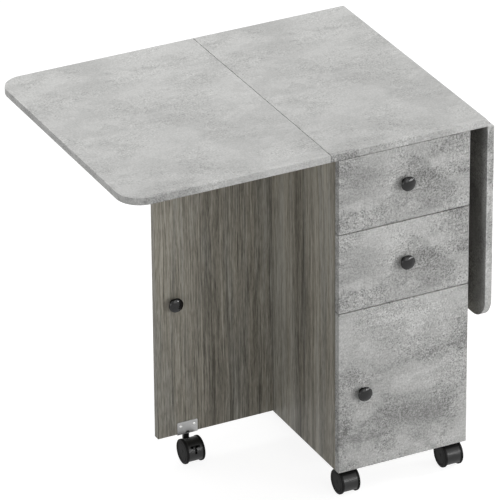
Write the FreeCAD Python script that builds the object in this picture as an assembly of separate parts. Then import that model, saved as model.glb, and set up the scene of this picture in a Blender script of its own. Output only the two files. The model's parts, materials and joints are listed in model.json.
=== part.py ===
import FreeCAD, Part
import math
import os

# A folding dining table on casters. A fixed top stands on a narrow cabinet with two drawers and a door,
# and a leaf is hinged to each long side of it. The left leaf is raised on a gate, a board on a caster that
# swings out of the cabinet's side. The right leaf hangs, with its own gate folded flat behind it.
# Millimetres, +Z up, +X to the right along the drawer fronts, +Y to the back. The table is laid out about
# the middle of the fixed top, and moved at the end so that the origin is on the floor under the middle of
# its box.

# Tops
HEIGHT = 760.0  # floor to the top surface
DEPTH = 600.0  # fixed top and leaves, front to back
TOP_WIDTH = 340.0  # fixed top, side to side
LEAF_REACH = 430.0  # hinge line to a leaf's free edge
LEAF_CORNER = 50.0  # radius of a leaf's free corners
BOARD = 15.0  # every cabinet board, top and gate
EDGE = 1.0  # softening of the edges in view
SEAM = 1.0  # slit between a leaf and the fixed top

# Cabinet
CABINET_LIFT = 58.0  # floor to the underside of the cabinet and the gates
LEFT_OVERHANG = 16.0  # fixed top past the left edge of the drawer fronts
FRONT_GAP = 1.0  # behind the drawer fronts and the door
REVEAL = 2.0  # slits between the drawer fronts and the door
TOP_REVEAL = 0.8  # slit between the tops and the upper drawer's front
UPPER_FRONT = 159.2  # height of the upper drawer's front
LOWER_FRONT = 169.5  # height of the lower drawer's front
RAIL_DEPTH = 60.0  # rail between the drawers

# Drawers
BOX_WALL = 12.0  # sides and back of a drawer
BOX_FLOOR = 4.0  # bottom of a drawer
BOX_DEPTH = 240.0
BOX_LIFT = 9.0  # drawer above the rail or board under it
BOX_HEADROOM = 20.0  # drawer below the rail or top over it
FLOOR_INSET = 8.0  # bottom above the lower edge of the sides
RUNNER_SPACE = 12.5  # room for a runner on each side of a drawer
RUNNER_HEIGHT = 35.0
RUNNER_DEPTH = 10.0  # flanges of a runner's channel
RUNNER_LENGTH = 235.0
RUNNER_WALL = 1.2
RUNNER_PLAY = 0.3

# Knobs
KNOB_REACH = 19.5
KNOB_R = 15.3
KNOB_FOOT_R = 8.2
KNOB_FOOT = 1.5  # height of the foot before the neck draws in
KNOB_NECK_R = 6.0
KNOB_FLARE_R = 8.0  # neck where it meets the head
KNOB_FLARE_DROP = 1.5  # head's underside from its rim to the neck
KNOB_LIP = 0.8  # rounding of the rim's underside
KNOB_RIM = 0.5  # straight height of the rim
KNOB_SHOULDER = 4.0  # rounding between the rim and the face
KNOB_DOME_R = 48.0  # radius of the head's domed face
DRAWER_KNOB_SHIFT = 1.5  # drawer knobs to the right of the middle of their fronts
UPPER_KNOB_RISE = 3.9  # upper drawer's knob above the middle of its front
DOOR_KNOB_INSET = 52.0  # from the door's left edge
DOOR_KNOB_DROP = 4.5  # door's knob below the middle of the door
GATE_KNOB_INSET = 39.0  # from the gate's free edge
GATE_KNOB_RISE = 299.5  # above the gate's lower edge

# Gates
GATE_SETBACK = 287.0  # cabinet's front face to the open gate's front face
GATE_WIDTH = 274.0
GATE_STOP_GAP = 1.0  # open gate to the end of the cabinet's front part
GATE_DROP = 3.2  # gate's upper edge below the underside of the tops
GLIDE_GAP = 0.3  # glide under a raised leaf
GLIDE_LENGTH = 32.0
GLIDE_INSET = 5.0  # glide from the gate's free edge
GLIDE_WALL = 1.5  # glide in from the gate's faces
KNOB_CLEAR = 0.5  # folded gate's knob to a hanging leaf

# Hinges
KNUCKLE_R = 2.75
PIN_R = 1.5
PIN_PLAY = 0.05
PLATE = 1.2
KNUCKLES = 5
KNUCKLE_PLAY = 0.3
POCKET_PLAY = 0.3  # knuckle in the groove cut for it
HINGE_LENGTH = 50.0
PLATE_WIDTH = 25.0
TOP_PLATE_WIDTH = 15.5  # plate under the fixed top, which ends before the cabinet's side
SIDE_PLATE_WIDTH = 13.0  # plate on the door's edge
PIN_OFFSET = 1.5  # pin from the face that a gate or door hinge is fixed to
GATE_END_GAP = 3.4  # gate's end from its hinge pin
LEAF_HINGE_Y = (-205.0, -75.0, 75.0, 205.0)
GATE_HINGE_Z = (130.0, 375.0, 620.0)
DOOR_HINGE_Z = (95.0, 325.0)

# Casters
WHEEL_R = 26.2
WHEEL_SPAN = 41.0  # over both wheels of a caster
RIM = 5.0  # width of a wheel's tread outside the hood
RIM_EDGE = 2.0  # rounding of a wheel's outer edge
DISH = 1.2  # hollow in a wheel's outer face
DISH_R = 21.0
TRAIL = 23.5  # swivel to axle
AXLE_R = 3.0
AXLE_PLAY = 0.1
AXLE_FIT = 0.02
HOOD_R = 25.2
HOOD_WALL = 1.5
HOOD_GAP = 0.4  # hood to the wheels
HOOD_FLOOR = 11.5  # lower edge of the hood above the floor
WEB = 8.0  # middle wall of the hood
BOSS_R = 7.0
BOSS_TOP = 54.0
BOSS_LOW = 18.0
STEM_R = 4.0
STEM_PLAY = 0.05
STEM_LOW = 24.0
CASTER_PLATE = 1.5
PLATE_SIDE = 44.0
PLATE_CORNER = 6.0
RACE_R = 10.0
RACE = 1.5
BRAKE_GROOVE = 6.0  # depth of the brake's T in the hood
BRAKE_BAR = (21.0, 3.8)  # width and height of the cross stroke
BRAKE_LEG = (4.6, 12.0)
BRAKE_Z = 40.0  # height of the cross stroke
FRONT_STEM_INSET = 27.0  # front casters in from the sides of the drawer fronts
FRONT_STEM_SETBACK = 46.0  # front casters behind the drawer fronts
REAR_STEM_X = 64.0
REAR_STEM_INSET = 38.0  # rear casters in from the cabinet's back
GATE_STEM_INSET = 65.0  # gate's caster from its free edge
BRACKET_WIDTH = 45.0
BRACKET_HEIGHT = 26.5
BRACKET_NOTCH_R = 5.0

# Planes that the pieces share
TOP_Z = HEIGHT - BOARD
HINGE_X = TOP_WIDTH / 2
FRONT_Y = -DEPTH / 2
BACK_Y = DEPTH / 2
SIDE_X = HINGE_X - KNOB_CLEAR - KNOB_REACH - BOARD - 2 * PIN_OFFSET
FRONT_LEFT = -HINGE_X + LEFT_OVERHANG
FRONT_RIGHT = SIDE_X
FRONT_MID = (FRONT_LEFT + FRONT_RIGHT) / 2
CASE_Y = FRONT_Y + BOARD + FRONT_GAP
GATE_Y = FRONT_Y + GATE_SETBACK
STEP_Y = GATE_Y - GATE_STOP_GAP
BAY_LEFT = FRONT_LEFT + BOARD
BAY_RIGHT = SIDE_X - BOARD
UPPER_TOP = TOP_Z - TOP_REVEAL
UPPER_LOW = UPPER_TOP - UPPER_FRONT
LOWER_TOP = UPPER_LOW - REVEAL
LOWER_LOW = LOWER_TOP - LOWER_FRONT
DOOR_TOP = LOWER_LOW - REVEAL
RAIL_MID = UPPER_LOW - REVEAL / 2
CEILING_MID = LOWER_LOW - REVEAL / 2
GATE_PIN_X = SIDE_X + PIN_OFFSET
GATE_PIN_Y = GATE_Y + BOARD + PIN_OFFSET
GATE_TOP = TOP_Z - GATE_DROP
GATE_END = GATE_END_GAP + GATE_WIDTH
DOOR_PIN_X = SIDE_X + PIN_OFFSET
DOOR_PIN_Y = CASE_Y - FRONT_GAP / 2
ORIGIN = FreeCAD.Vector(LEAF_REACH / 2 - BOARD / 2, KNOB_REACH / 2, 0)

X = FreeCAD.Vector(1, 0, 0)
Y = FreeCAD.Vector(0, 1, 0)
Z = FreeCAD.Vector(0, 0, 1)
NEAR = 1e-4


def at(x, y, z):
    return FreeCAD.Vector(x, y, z)


def span(p, q):
    """The box between two opposite corners, given in any order."""
    low = at(min(p.x, q.x), min(p.y, q.y), min(p.z, q.z))
    high = at(max(p.x, q.x), max(p.y, q.y), max(p.z, q.z))
    size = high - low
    return Part.makeBox(size.x, size.y, size.z, low)


def board(x, y, z):
    """A board between three pairs of planes."""
    return span(at(x[0], y[0], z[0]), at(x[1], y[1], z[1]))


def edges_in_plane(shape, axis, value):
    """The edges of a shape that lie in the plane axis = value."""
    found = []
    for edge in shape.Edges:
        box = edge.BoundBox
        low, high = getattr(box, axis + "Min"), getattr(box, axis + "Max")
        if abs(low - value) < NEAR and abs(high - value) < NEAR:
            found.append(edge)
    return found


def softened(shape, axis, *values):
    """A shape with the edges in the given planes rounded."""
    for value in values:
        shape = shape.makeFillet(EDGE, edges_in_plane(shape, axis, value))
    return shape


def turned(profile, base, direction):
    """A solid of revolution: an outline of (radius, height) lines and arcs stood on base along direction."""
    edges = []
    for points in profile:
        spots = [at(r, 0, h) for r, h in points]
        if len(spots) == 2:
            edges.append(Part.LineSegment(*spots).toShape())
        else:
            edges.append(Part.Arc(*spots).toShape())
    solid = Part.Face(Part.Wire(edges)).revolve(at(0, 0, 0), Z, 360)
    solid.Placement = FreeCAD.Placement(base, FreeCAD.Rotation(Z, direction))
    return solid


def groove(pin, along, length):
    """The room that a row of knuckles needs about its pin."""
    start = pin - along * POCKET_PLAY
    return Part.makeCylinder(KNUCKLE_R + POCKET_PLAY, length + 2 * POCKET_PLAY, start, along)


def hinge_half(pin, along, reach, wood, offset, width, first):
    """A hinge plate that reaches away from the pin, with its back on the wood, and every second knuckle."""
    clear = KNUCKLE_R + KNUCKLE_PLAY
    back, face = wood * offset, wood * (offset - PLATE)
    half = span(pin + reach * clear + face, pin + along * HINGE_LENGTH + reach * width + back)
    pitch = HINGE_LENGTH / KNUCKLES
    for n in range(first, KNUCKLES, 2):
        start = pin + along * (n * pitch + KNUCKLE_PLAY / 2)
        length = pitch - KNUCKLE_PLAY
        half = half.fuse(Part.makeCylinder(KNUCKLE_R, length, start, along))
        half = half.fuse(span(start + face, start + along * length + reach * clear + back))
    bore = Part.makeCylinder(PIN_R + PIN_PLAY, HINGE_LENGTH + 2 * BOARD, pin - along * BOARD, along)
    return half.removeSplitter().cut(bore)


def leaf_pins(side):
    """Where the hinges of one leaf start; side is -1 for the left leaf and 1 for the right one."""
    return [at(side * HINGE_X, y - HINGE_LENGTH / 2, TOP_Z) for y in LEAF_HINGE_Y]


def gate_pins(side):
    return [at(side * GATE_PIN_X, GATE_PIN_Y, z) for z in GATE_HINGE_Z]


def door_pins():
    return [at(DOOR_PIN_X, DOOR_PIN_Y, z) for z in DOOR_HINGE_Z]


def hinge_pins():
    """The pins of the leaf, gate and door hinges, held in the knuckles on the fixed side."""
    level = [Part.makeCylinder(PIN_R, HINGE_LENGTH, p, Y) for p in leaf_pins(-1) + leaf_pins(1)]
    doors = gate_pins(-1) + gate_pins(1) + door_pins()
    upright = [Part.makeCylinder(PIN_R, HINGE_LENGTH, p, Z) for p in doors]
    return {"hinge_pins": level + upright}


def grooved(shape, pins, along):
    for pin in pins:
        shape = shape.cut(groove(pin, along, HINGE_LENGTH))
    return shape


def fixed_top():
    top = board((-HINGE_X, HINGE_X), (FRONT_Y, BACK_Y), (TOP_Z, HEIGHT))
    top = softened(top, "Z", TOP_Z, HEIGHT)
    return grooved(top, leaf_pins(-1) + leaf_pins(1), Y)


def raised_leaf(side):
    """A leaf level with the fixed top, with two rounded free corners."""
    near, free = side * (HINGE_X + SEAM), side * (HINGE_X + LEAF_REACH)
    leaf = board((near, free), (FRONT_Y, BACK_Y), (TOP_Z, HEIGHT))
    upright = [e for e in edges_in_plane(leaf, "X", free) if e.BoundBox.ZLength > NEAR]
    leaf = leaf.makeFillet(LEAF_CORNER, upright)
    leaf = softened(leaf, "Z", TOP_Z, HEIGHT)
    return grooved(leaf, leaf_pins(side), Y)


def hung(shape):
    """The right leaf or a piece on it, turned down about its hinge line."""
    shape = shape.copy()
    shape.rotate(at(HINGE_X, 0, TOP_Z), Y, 90)
    return shape


def tops():
    left = [hinge_half(p, Y, -X, Z, 0, PLATE_WIDTH, 1) for p in leaf_pins(-1)]
    right = [hung(hinge_half(p, Y, X, Z, 0, PLATE_WIDTH, 1)) for p in leaf_pins(1)]
    return {
        "fixed_top": [fixed_top()],
        "left_leaf": [raised_leaf(-1)],
        "right_leaf": [hung(raised_leaf(1))],
        "left_leaf_hinge_top_plates": [hinge_half(p, Y, X, Z, 0, TOP_PLATE_WIDTH, 0) for p in leaf_pins(-1)],
        "left_leaf_hinge_leaf_plates": left,
        "right_leaf_hinge_top_plates": [hinge_half(p, Y, -X, Z, 0, TOP_PLATE_WIDTH, 0) for p in leaf_pins(1)],
        "right_leaf_hinge_leaf_plates": right,
    }


def carcass():
    """The cabinet's boards: a front part with the drawers, and a narrower rear part between the gates."""
    full = (CABINET_LIFT, TOP_Z)
    rear = BACK_Y - BOARD
    low = (CABINET_LIFT, CABINET_LIFT + BOARD)
    bay = (BAY_LEFT, BAY_RIGHT)
    front = (CASE_Y, STEP_Y - BOARD)
    right_side = board((BAY_RIGHT, SIDE_X), (CASE_Y, rear), full)
    right_side = grooved(right_side, gate_pins(1) + door_pins(), Z)
    left_rear = board((-SIDE_X, -SIDE_X + BOARD), (STEP_Y, rear), full)
    half = BOARD / 2
    return {
        "left_front_side": [board((FRONT_LEFT, BAY_LEFT), (CASE_Y, STEP_Y), full)],
        "left_rear_side": [grooved(left_rear, gate_pins(-1), Z)],
        "right_side": [right_side],
        "middle_partition": [board(bay, (STEP_Y - BOARD, STEP_Y), full)],
        "back_panel": [board((-SIDE_X, SIDE_X), (rear, BACK_Y), full)],
        "cupboard_floor": [board(bay, front, low)],
        "rear_floor": [board((-SIDE_X + BOARD, BAY_RIGHT), (STEP_Y, rear), low)],
        "cupboard_ceiling": [board(bay, front, (CEILING_MID - half, CEILING_MID + half))],
        "drawer_rail": [board(bay, (CASE_Y, CASE_Y + RAIL_DEPTH), (RAIL_MID - half, RAIL_MID + half))],
    }


def arc(r, h, radius, start, turn):
    """An arc about (r, h) in a turned outline, anticlockwise from a start angle, in degrees."""
    angles = [math.radians(start + turn * share) for share in (0, 0.5, 1)]
    return [(r + radius * math.cos(a), h + radius * math.sin(a)) for a in angles]


def knob(base, direction):
    """A mushroom knob: a foot, a waisted neck, and a thin head whose domed face runs into a round rim."""
    rim_r = KNOB_R - KNOB_SHOULDER
    tilt = math.degrees(math.asin(rim_r / (KNOB_DOME_R - KNOB_SHOULDER)))
    dome_h = KNOB_REACH - KNOB_DOME_R
    rim_h = dome_h + (KNOB_DOME_R - KNOB_SHOULDER) * math.cos(math.radians(tilt))
    lip_h = rim_h - KNOB_RIM
    under_h = lip_h - KNOB_LIP
    flare_h = under_h - KNOB_FLARE_DROP
    profile = [
        [(0, 0), (KNOB_FOOT_R, 0)],
        [(KNOB_FOOT_R, 0), (KNOB_FOOT_R, KNOB_FOOT)],
        [(KNOB_FOOT_R, KNOB_FOOT), (KNOB_NECK_R, (KNOB_FOOT + flare_h) / 2), (KNOB_FLARE_R, flare_h)],
        [(KNOB_FLARE_R, flare_h), (KNOB_R - KNOB_LIP, under_h)],
        arc(KNOB_R - KNOB_LIP, lip_h, KNOB_LIP, -90, 90),
        [(KNOB_R, lip_h), (KNOB_R, rim_h)],
        arc(rim_r, rim_h, KNOB_SHOULDER, 0, 90 - tilt),
        arc(0, dome_h, KNOB_DOME_R, 90 - tilt, tilt),
        [(0, KNOB_REACH), (0, 0)],
    ]
    return turned(profile, base, direction)


def front_panel(low, high):
    panel = board((FRONT_LEFT, FRONT_RIGHT), (FRONT_Y, FRONT_Y + BOARD), (low, high))
    return softened(panel, "Y", FRONT_Y)


def channel(face, into, z):
    """A runner's channel with its web on a face, open towards into; z is its lower and upper plane."""
    start, end = at(face, CASE_Y + FRONT_GAP, z[0]), at(face, CASE_Y + FRONT_GAP + RUNNER_LENGTH, z[1])
    hollow = span(
        at(face + into * RUNNER_WALL, start.y - BOARD, z[0] + RUNNER_WALL),
        at(face + into * RUNNER_SPACE, end.y + BOARD, z[1] - RUNNER_WALL),
    )
    return span(start, end + X * (into * RUNNER_DEPTH)).cut(hollow)


def drawer(name, front_low, front_top, bay_low, bay_top, knob_z):
    """A drawer's front, box, bottom, knob and sliding runners, and the two channels on the cabinet for it."""
    left, right = BAY_LEFT + RUNNER_SPACE, BAY_RIGHT - RUNNER_SPACE
    near, far = FRONT_Y + BOARD, FRONT_Y + BOARD + BOX_DEPTH
    low, top = bay_low + BOX_LIFT, bay_top - BOX_HEADROOM
    inner = (left + BOX_WALL, right - BOX_WALL)
    floor_z = low + FLOOR_INSET
    mid = (low + top) / 2
    outer_z = (mid - RUNNER_HEIGHT / 2, mid + RUNNER_HEIGHT / 2)
    tight = RUNNER_WALL + RUNNER_PLAY
    inner_z = (outer_z[0] + tight, outer_z[1] - tight)
    pieces = {
        name + "_front": [front_panel(front_low, front_top)],
        name + "_box": [
            board((left, inner[0]), (near, far), (low, top)),
            board((inner[1], right), (near, far), (low, top)),
            board(inner, (far - BOX_WALL, far), (low, top)),
        ],
        name + "_bottom": [board(inner, (near, far - BOX_WALL), (floor_z, floor_z + BOX_FLOOR))],
        name + "_knob": [knob(at(FRONT_MID + DRAWER_KNOB_SHIFT, FRONT_Y, knob_z), -Y)],
        name + "_runners": [channel(left, -1, inner_z), channel(right, 1, inner_z)],
    }
    return pieces, [channel(BAY_LEFT, 1, outer_z), channel(BAY_RIGHT, -1, outer_z)]


def drawers():
    half = BOARD / 2
    upper_knob = (UPPER_LOW + UPPER_TOP) / 2 + UPPER_KNOB_RISE
    lower_knob = (LOWER_LOW + LOWER_TOP) / 2
    upper, upper_channels = drawer("upper_drawer", UPPER_LOW, UPPER_TOP, RAIL_MID + half, TOP_Z, upper_knob)
    lower, lower_channels = drawer(
        "lower_drawer", LOWER_LOW, LOWER_TOP, CEILING_MID + half, RAIL_MID - half, lower_knob
    )
    return {**upper, **lower, "cabinet_runners": upper_channels + lower_channels}


def door():
    knob_z = (CABINET_LIFT + DOOR_TOP) / 2 - DOOR_KNOB_DROP
    panel = grooved(front_panel(CABINET_LIFT, DOOR_TOP), door_pins(), Z)
    edge_plates = [hinge_half(p, Z, -Y, -X, PIN_OFFSET, SIDE_PLATE_WIDTH, 1) for p in door_pins()]
    return {
        "door": [panel],
        "door_knob": [knob(at(FRONT_LEFT + DOOR_KNOB_INSET, FRONT_Y, knob_z), -Y)],
        "door_hinge_door_plates": edge_plates,
        "door_hinge_cabinet_plates": [
            hinge_half(p, Z, Y, -X, PIN_OFFSET, PLATE_WIDTH, 0) for p in door_pins()
        ],
    }


def stem():
    """The pin that a caster turns on, about the Z axis."""
    return Part.makeCylinder(STEM_R, CABINET_LIFT - CASTER_PLATE - STEM_LOW, at(0, 0, STEM_LOW))


def open_gate():
    """The left gate swung out: its board, glide, knob, and its caster's bracket and stem."""
    pin_x = -GATE_PIN_X
    free, end = pin_x - GATE_END, pin_x - GATE_END_GAP
    face, rear = GATE_Y, GATE_Y + BOARD
    panel = board((free, end), (face, rear), (CABINET_LIFT, GATE_TOP))
    panel = softened(panel, "X", free)
    glide_x = free + GLIDE_INSET
    glide = board(
        (glide_x, glide_x + GLIDE_LENGTH),
        (face + GLIDE_WALL, rear - GLIDE_WALL),
        (GATE_TOP, TOP_Z - GLIDE_GAP),
    )
    stem_x, stem_y = free + GATE_STEM_INSET, face + BOARD / 2
    half = BRACKET_WIDTH / 2
    low, top = CABINET_LIFT - CASTER_PLATE, CABINET_LIFT + BRACKET_HEIGHT
    bracket = board(
        (stem_x - half, stem_x + half), (face - CASTER_PLATE, rear + CASTER_PLATE), (low, top)
    )
    upright = [e for e in edges_in_plane(bracket, "Z", top) if e.BoundBox.XLength < NEAR]
    bracket = bracket.makeChamfer(CASTER_PLATE, upright)
    bracket = bracket.cut(board((free, end), (face, rear), (CABINET_LIFT, GATE_TOP)))
    notch = Part.makeCylinder(BRACKET_NOTCH_R, CASTER_PLATE, at(stem_x, face - CASTER_PLATE, CABINET_LIFT), Y)
    bracket = bracket.cut(notch.common(board((free, end), (face - BOARD, face), (CABINET_LIFT, top))))
    pin = stem()
    pin.translate(at(stem_x, stem_y, 0))
    return {
        "gate": [panel],
        "gate_glide": [glide],
        "gate_knob": [knob(at(free + GATE_KNOB_INSET, face, CABINET_LIFT + GATE_KNOB_RISE), -Y)],
        "gate_caster_bracket": [bracket, pin],
        "gate_hinge_gate_plates": [
            hinge_half(p, Z, -X, -Y, PIN_OFFSET, PLATE_WIDTH, 1) for p in gate_pins(-1)
        ],
    }


def folded(shape):
    """A piece of the open left gate, folded to the back about its hinge and mirrored to the right side."""
    shape = shape.copy()
    shape.rotate(at(-GATE_PIN_X, GATE_PIN_Y, 0), Z, -90)
    return shape.mirror(at(0, 0, 0), X)


def gates():
    pieces = {}
    for name, solids in open_gate().items():
        pieces["left_" + name] = solids
        pieces["right_" + name] = [folded(s) for s in solids]
    for side, word, wood in ((-1, "left", X), (1, "right", -X)):
        plates = [hinge_half(p, Z, Y, wood, PIN_OFFSET, PLATE_WIDTH, 0) for p in gate_pins(side)]
        pieces[word + "_gate_hinge_cabinet_plates"] = plates
    return pieces


def drum(radius, x0, x1):
    """A round piece about a caster's axle, with the swivel on the Z axis."""
    return Part.makeCylinder(radius, x1 - x0, at(x0, -TRAIL, WHEEL_R), X)


def caster_hood(brake):
    """The turning hood: a round cover, its middle wall, and the boss that turns on the stem."""
    half = WHEEL_SPAN / 2 - RIM - HOOD_GAP
    hood = drum(HOOD_R, -half, half)
    inside = HOOD_R - HOOD_WALL
    hood = hood.cut(drum(inside, WEB / 2, half)).cut(drum(inside, -half, -WEB / 2))
    reach = TRAIL + HOOD_R
    hood = hood.cut(board((-half, half), (-2 * reach, reach), (0, HOOD_FLOOR)))
    hood = hood.fuse(Part.makeCylinder(BOSS_R, BOSS_TOP - BOSS_LOW, at(0, 0, BOSS_LOW))).removeSplitter()
    hood = hood.cut(Part.makeCylinder(STEM_R + STEM_PLAY, BOSS_TOP, at(0, 0, STEM_LOW - AXLE_PLAY)))
    hood = hood.cut(drum(AXLE_R + AXLE_PLAY, -half, half))
    if brake:
        front = (-TRAIL - 2 * HOOD_R, -TRAIL)
        bar, leg = BRAKE_BAR, BRAKE_LEG
        mark = board((-bar[0] / 2, bar[0] / 2), front, (BRAKE_Z, BRAKE_Z + bar[1]))
        mark = mark.fuse(board((-leg[0] / 2, leg[0] / 2), front, (BRAKE_Z - leg[1], BRAKE_Z)))
        hood = hood.cut(mark.cut(drum(HOOD_R - BRAKE_GROOVE, -half, half)))
    return hood


def caster_wheel():
    """The right wheel of a pair: a rounded tread, a narrower drum inside the hood, and a dished face."""
    outer = WHEEL_SPAN / 2
    inner = outer - RIM
    bore = AXLE_R + AXLE_FIT
    inside = HOOD_R - HOOD_WALL - HOOD_GAP
    drum_x = BOSS_R + HOOD_GAP
    drum_side = [(bore, drum_x), (inside, drum_x), (inside, inner)]
    before = drum_side + [(WHEEL_R, inner), (WHEEL_R, outer - RIM_EDGE)]
    dished = [(DISH_R, outer), (DISH_R - DISH, outer - DISH), (bore, outer - DISH)]
    after = [(WHEEL_R - RIM_EDGE, outer)] + dished
    profile = [[a, b] for a, b in zip(before, before[1:])]
    profile.append(arc(WHEEL_R - RIM_EDGE, outer - RIM_EDGE, RIM_EDGE, 0, 90))
    profile += [[a, b] for a, b in zip(after, after[1:] + before[:1])]
    return turned(profile, at(0, -TRAIL, WHEEL_R), X)


def caster_plate():
    """A plate under the cabinet with the race that the caster's boss runs under, and the stem."""
    half = PLATE_SIDE / 2
    low = CABINET_LIFT - CASTER_PLATE
    plate = board((-half, half), (-half, half), (low, CABINET_LIFT))
    plate = plate.makeFillet(PLATE_CORNER, [e for e in plate.Edges if e.BoundBox.ZLength > NEAR])
    plate = plate.fuse(Part.makeCylinder(RACE_R, RACE, at(0, 0, low - RACE))).removeSplitter()
    return plate.cut(stem())


def caster_spots():
    """Where each caster's swivel stands on the floor."""
    front, back = FRONT_Y + FRONT_STEM_SETBACK, BACK_Y - REAR_STEM_INSET
    gate = GATE_END - GATE_STEM_INSET
    folded_x = SIDE_X + 2 * PIN_OFFSET + BOARD / 2
    return {
        "front_left": at(FRONT_LEFT + FRONT_STEM_INSET, front, 0),
        "front_right": at(FRONT_RIGHT - FRONT_STEM_INSET, front, 0),
        "rear_left": at(-REAR_STEM_X, back, 0),
        "rear_right": at(REAR_STEM_X, back, 0),
        "left_gate": at(-GATE_PIN_X - gate, GATE_Y + BOARD / 2, 0),
        "right_gate": at(folded_x, GATE_PIN_Y + gate, 0),
    }


def casters():
    pieces = {"cabinet_caster_plates": [], "cabinet_caster_stems": []}
    wheel = caster_wheel()
    axle = drum(AXLE_R, DISH - WHEEL_SPAN / 2, WHEEL_SPAN / 2 - DISH)
    running = [wheel, wheel.mirror(at(0, 0, 0), X), axle]
    for name, spot in caster_spots().items():
        on_gate = name.endswith("gate")
        pieces[name + "_caster_hood"] = [caster_hood(on_gate).translated(spot)]
        pieces[name + "_caster_wheels"] = [s.translated(spot) for s in running]
        if not on_gate:
            pieces["cabinet_caster_plates"].append(caster_plate().translated(spot))
            pieces["cabinet_caster_stems"].append(stem().translated(spot))
    return pieces


def main():
    os.makedirs("parts", exist_ok=True)
    for group in (tops(), carcass(), drawers(), door(), gates(), hinge_pins(), casters()):
        for name, solids in group.items():
            shape = Part.makeCompound(solids) if len(solids) > 1 else solids[0]
            shape.translated(ORIGIN).exportStep("parts/" + name + ".step")


if __name__ == "__main__":
    main()
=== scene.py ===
"""Dresses a folding dining table: printed laminate, knobs, casters and hardware, in a white studio."""

import json
import logging
import math
from collections.abc import Callable, Iterator, Sequence
from contextlib import contextmanager
from dataclasses import dataclass, field
from enum import Enum

import bmesh
import bpy
from mathutils import Euler, Matrix, Quaternion, Vector


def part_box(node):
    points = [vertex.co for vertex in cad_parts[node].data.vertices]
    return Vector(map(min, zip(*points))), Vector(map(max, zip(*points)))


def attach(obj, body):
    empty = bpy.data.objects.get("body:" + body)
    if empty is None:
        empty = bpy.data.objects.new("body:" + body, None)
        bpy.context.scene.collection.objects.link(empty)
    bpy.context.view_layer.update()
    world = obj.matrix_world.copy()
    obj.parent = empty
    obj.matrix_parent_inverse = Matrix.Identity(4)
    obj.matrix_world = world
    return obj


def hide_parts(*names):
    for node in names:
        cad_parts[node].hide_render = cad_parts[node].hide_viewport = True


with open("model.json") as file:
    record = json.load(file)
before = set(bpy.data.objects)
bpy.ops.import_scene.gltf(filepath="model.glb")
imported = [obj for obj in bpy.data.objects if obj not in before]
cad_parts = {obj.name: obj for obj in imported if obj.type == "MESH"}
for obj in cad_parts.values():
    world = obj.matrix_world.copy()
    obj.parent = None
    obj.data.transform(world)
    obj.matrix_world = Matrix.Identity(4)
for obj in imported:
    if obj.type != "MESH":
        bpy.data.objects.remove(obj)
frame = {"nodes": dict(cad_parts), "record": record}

LOG = logging.getLogger("folding_table")
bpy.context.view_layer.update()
MM = 0.001
TOUCH = 0.001 * MM  # corners that are closer than this are one
TOP_SHARE = 0.9  # a piece's top begins above this share of its height
FLAT = 0.999  # directions with a larger cosine between them are the same
PRINT_SPAN = 0.25  # from a print's middle tone to its darkest or palest one

Colour = tuple[float, float, float]
Triple = tuple[float, float, float]
Pair = tuple[float, float]
Socket = bpy.types.NodeSocket
Sockets = bpy.types.bpy_prop_collection

UP = Vector((0, 0, 1))
LEFT = Vector((-1, 0, 0))
RIGHT = Vector((1, 0, 0))
FRONT = Vector((0, -1, 0))
BACK = Vector((0, 1, 0))
DOWN = Vector((0, 0, -1))


class Slot(str, Enum):
    """The finishes that the record names."""

    CONCRETE = "concrete_laminate"
    WOOD = "wood_laminate"
    MELAMINE = "drawer_board"
    KNOB = "black_knob"
    HOOD = "caster_hood"
    WHEEL = "caster_wheel"
    STEEL = "steel"
    GLIDE = "glide"


class Side(str, Enum):
    """The two sides of the table."""

    LEFT = "left"
    RIGHT = "right"


# Boxes and solids of the frame


@dataclass(frozen=True)
class Box:
    """A box along the axes, between its lowest and highest corners in metres."""

    low: Vector
    high: Vector

    @property
    def middle(self) -> Vector:
        """The box's centre."""
        return (self.low + self.high) / 2

    @property
    def size(self) -> Vector:
        """The box's three edge lengths."""
        return self.high - self.low


def node_box(name: str) -> Box:
    """The box of one CAD node at rest."""
    return Box(*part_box(name))


def solids_of(name: str) -> list[Box]:
    """Finds the separate solids of a CAD node.

    Args:
        name: the node's name.

    Returns:
        One box per solid, in order along X, then Y, then Z.
    """
    work = bmesh.new()
    work.from_mesh(frame["nodes"][name].data)
    bmesh.ops.remove_doubles(work, verts=work.verts, dist=TOUCH)
    waiting = set(work.verts)
    boxes = []
    while waiting:
        border = [waiting.pop()]
        found = list(border)
        while border:
            for line in border.pop().link_edges:
                for corner in line.verts:
                    if corner in waiting:
                        waiting.remove(corner)
                        border.append(corner)
                        found.append(corner)
        low = Vector(min(v.co[i] for v in found) for i in range(3))
        high = Vector(max(v.co[i] for v in found) for i in range(3))
        boxes.append(Box(low, high))
    work.free()
    return sorted(boxes, key=lambda b: tuple(round(c, 5) for c in b.middle))


# Node trees


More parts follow.
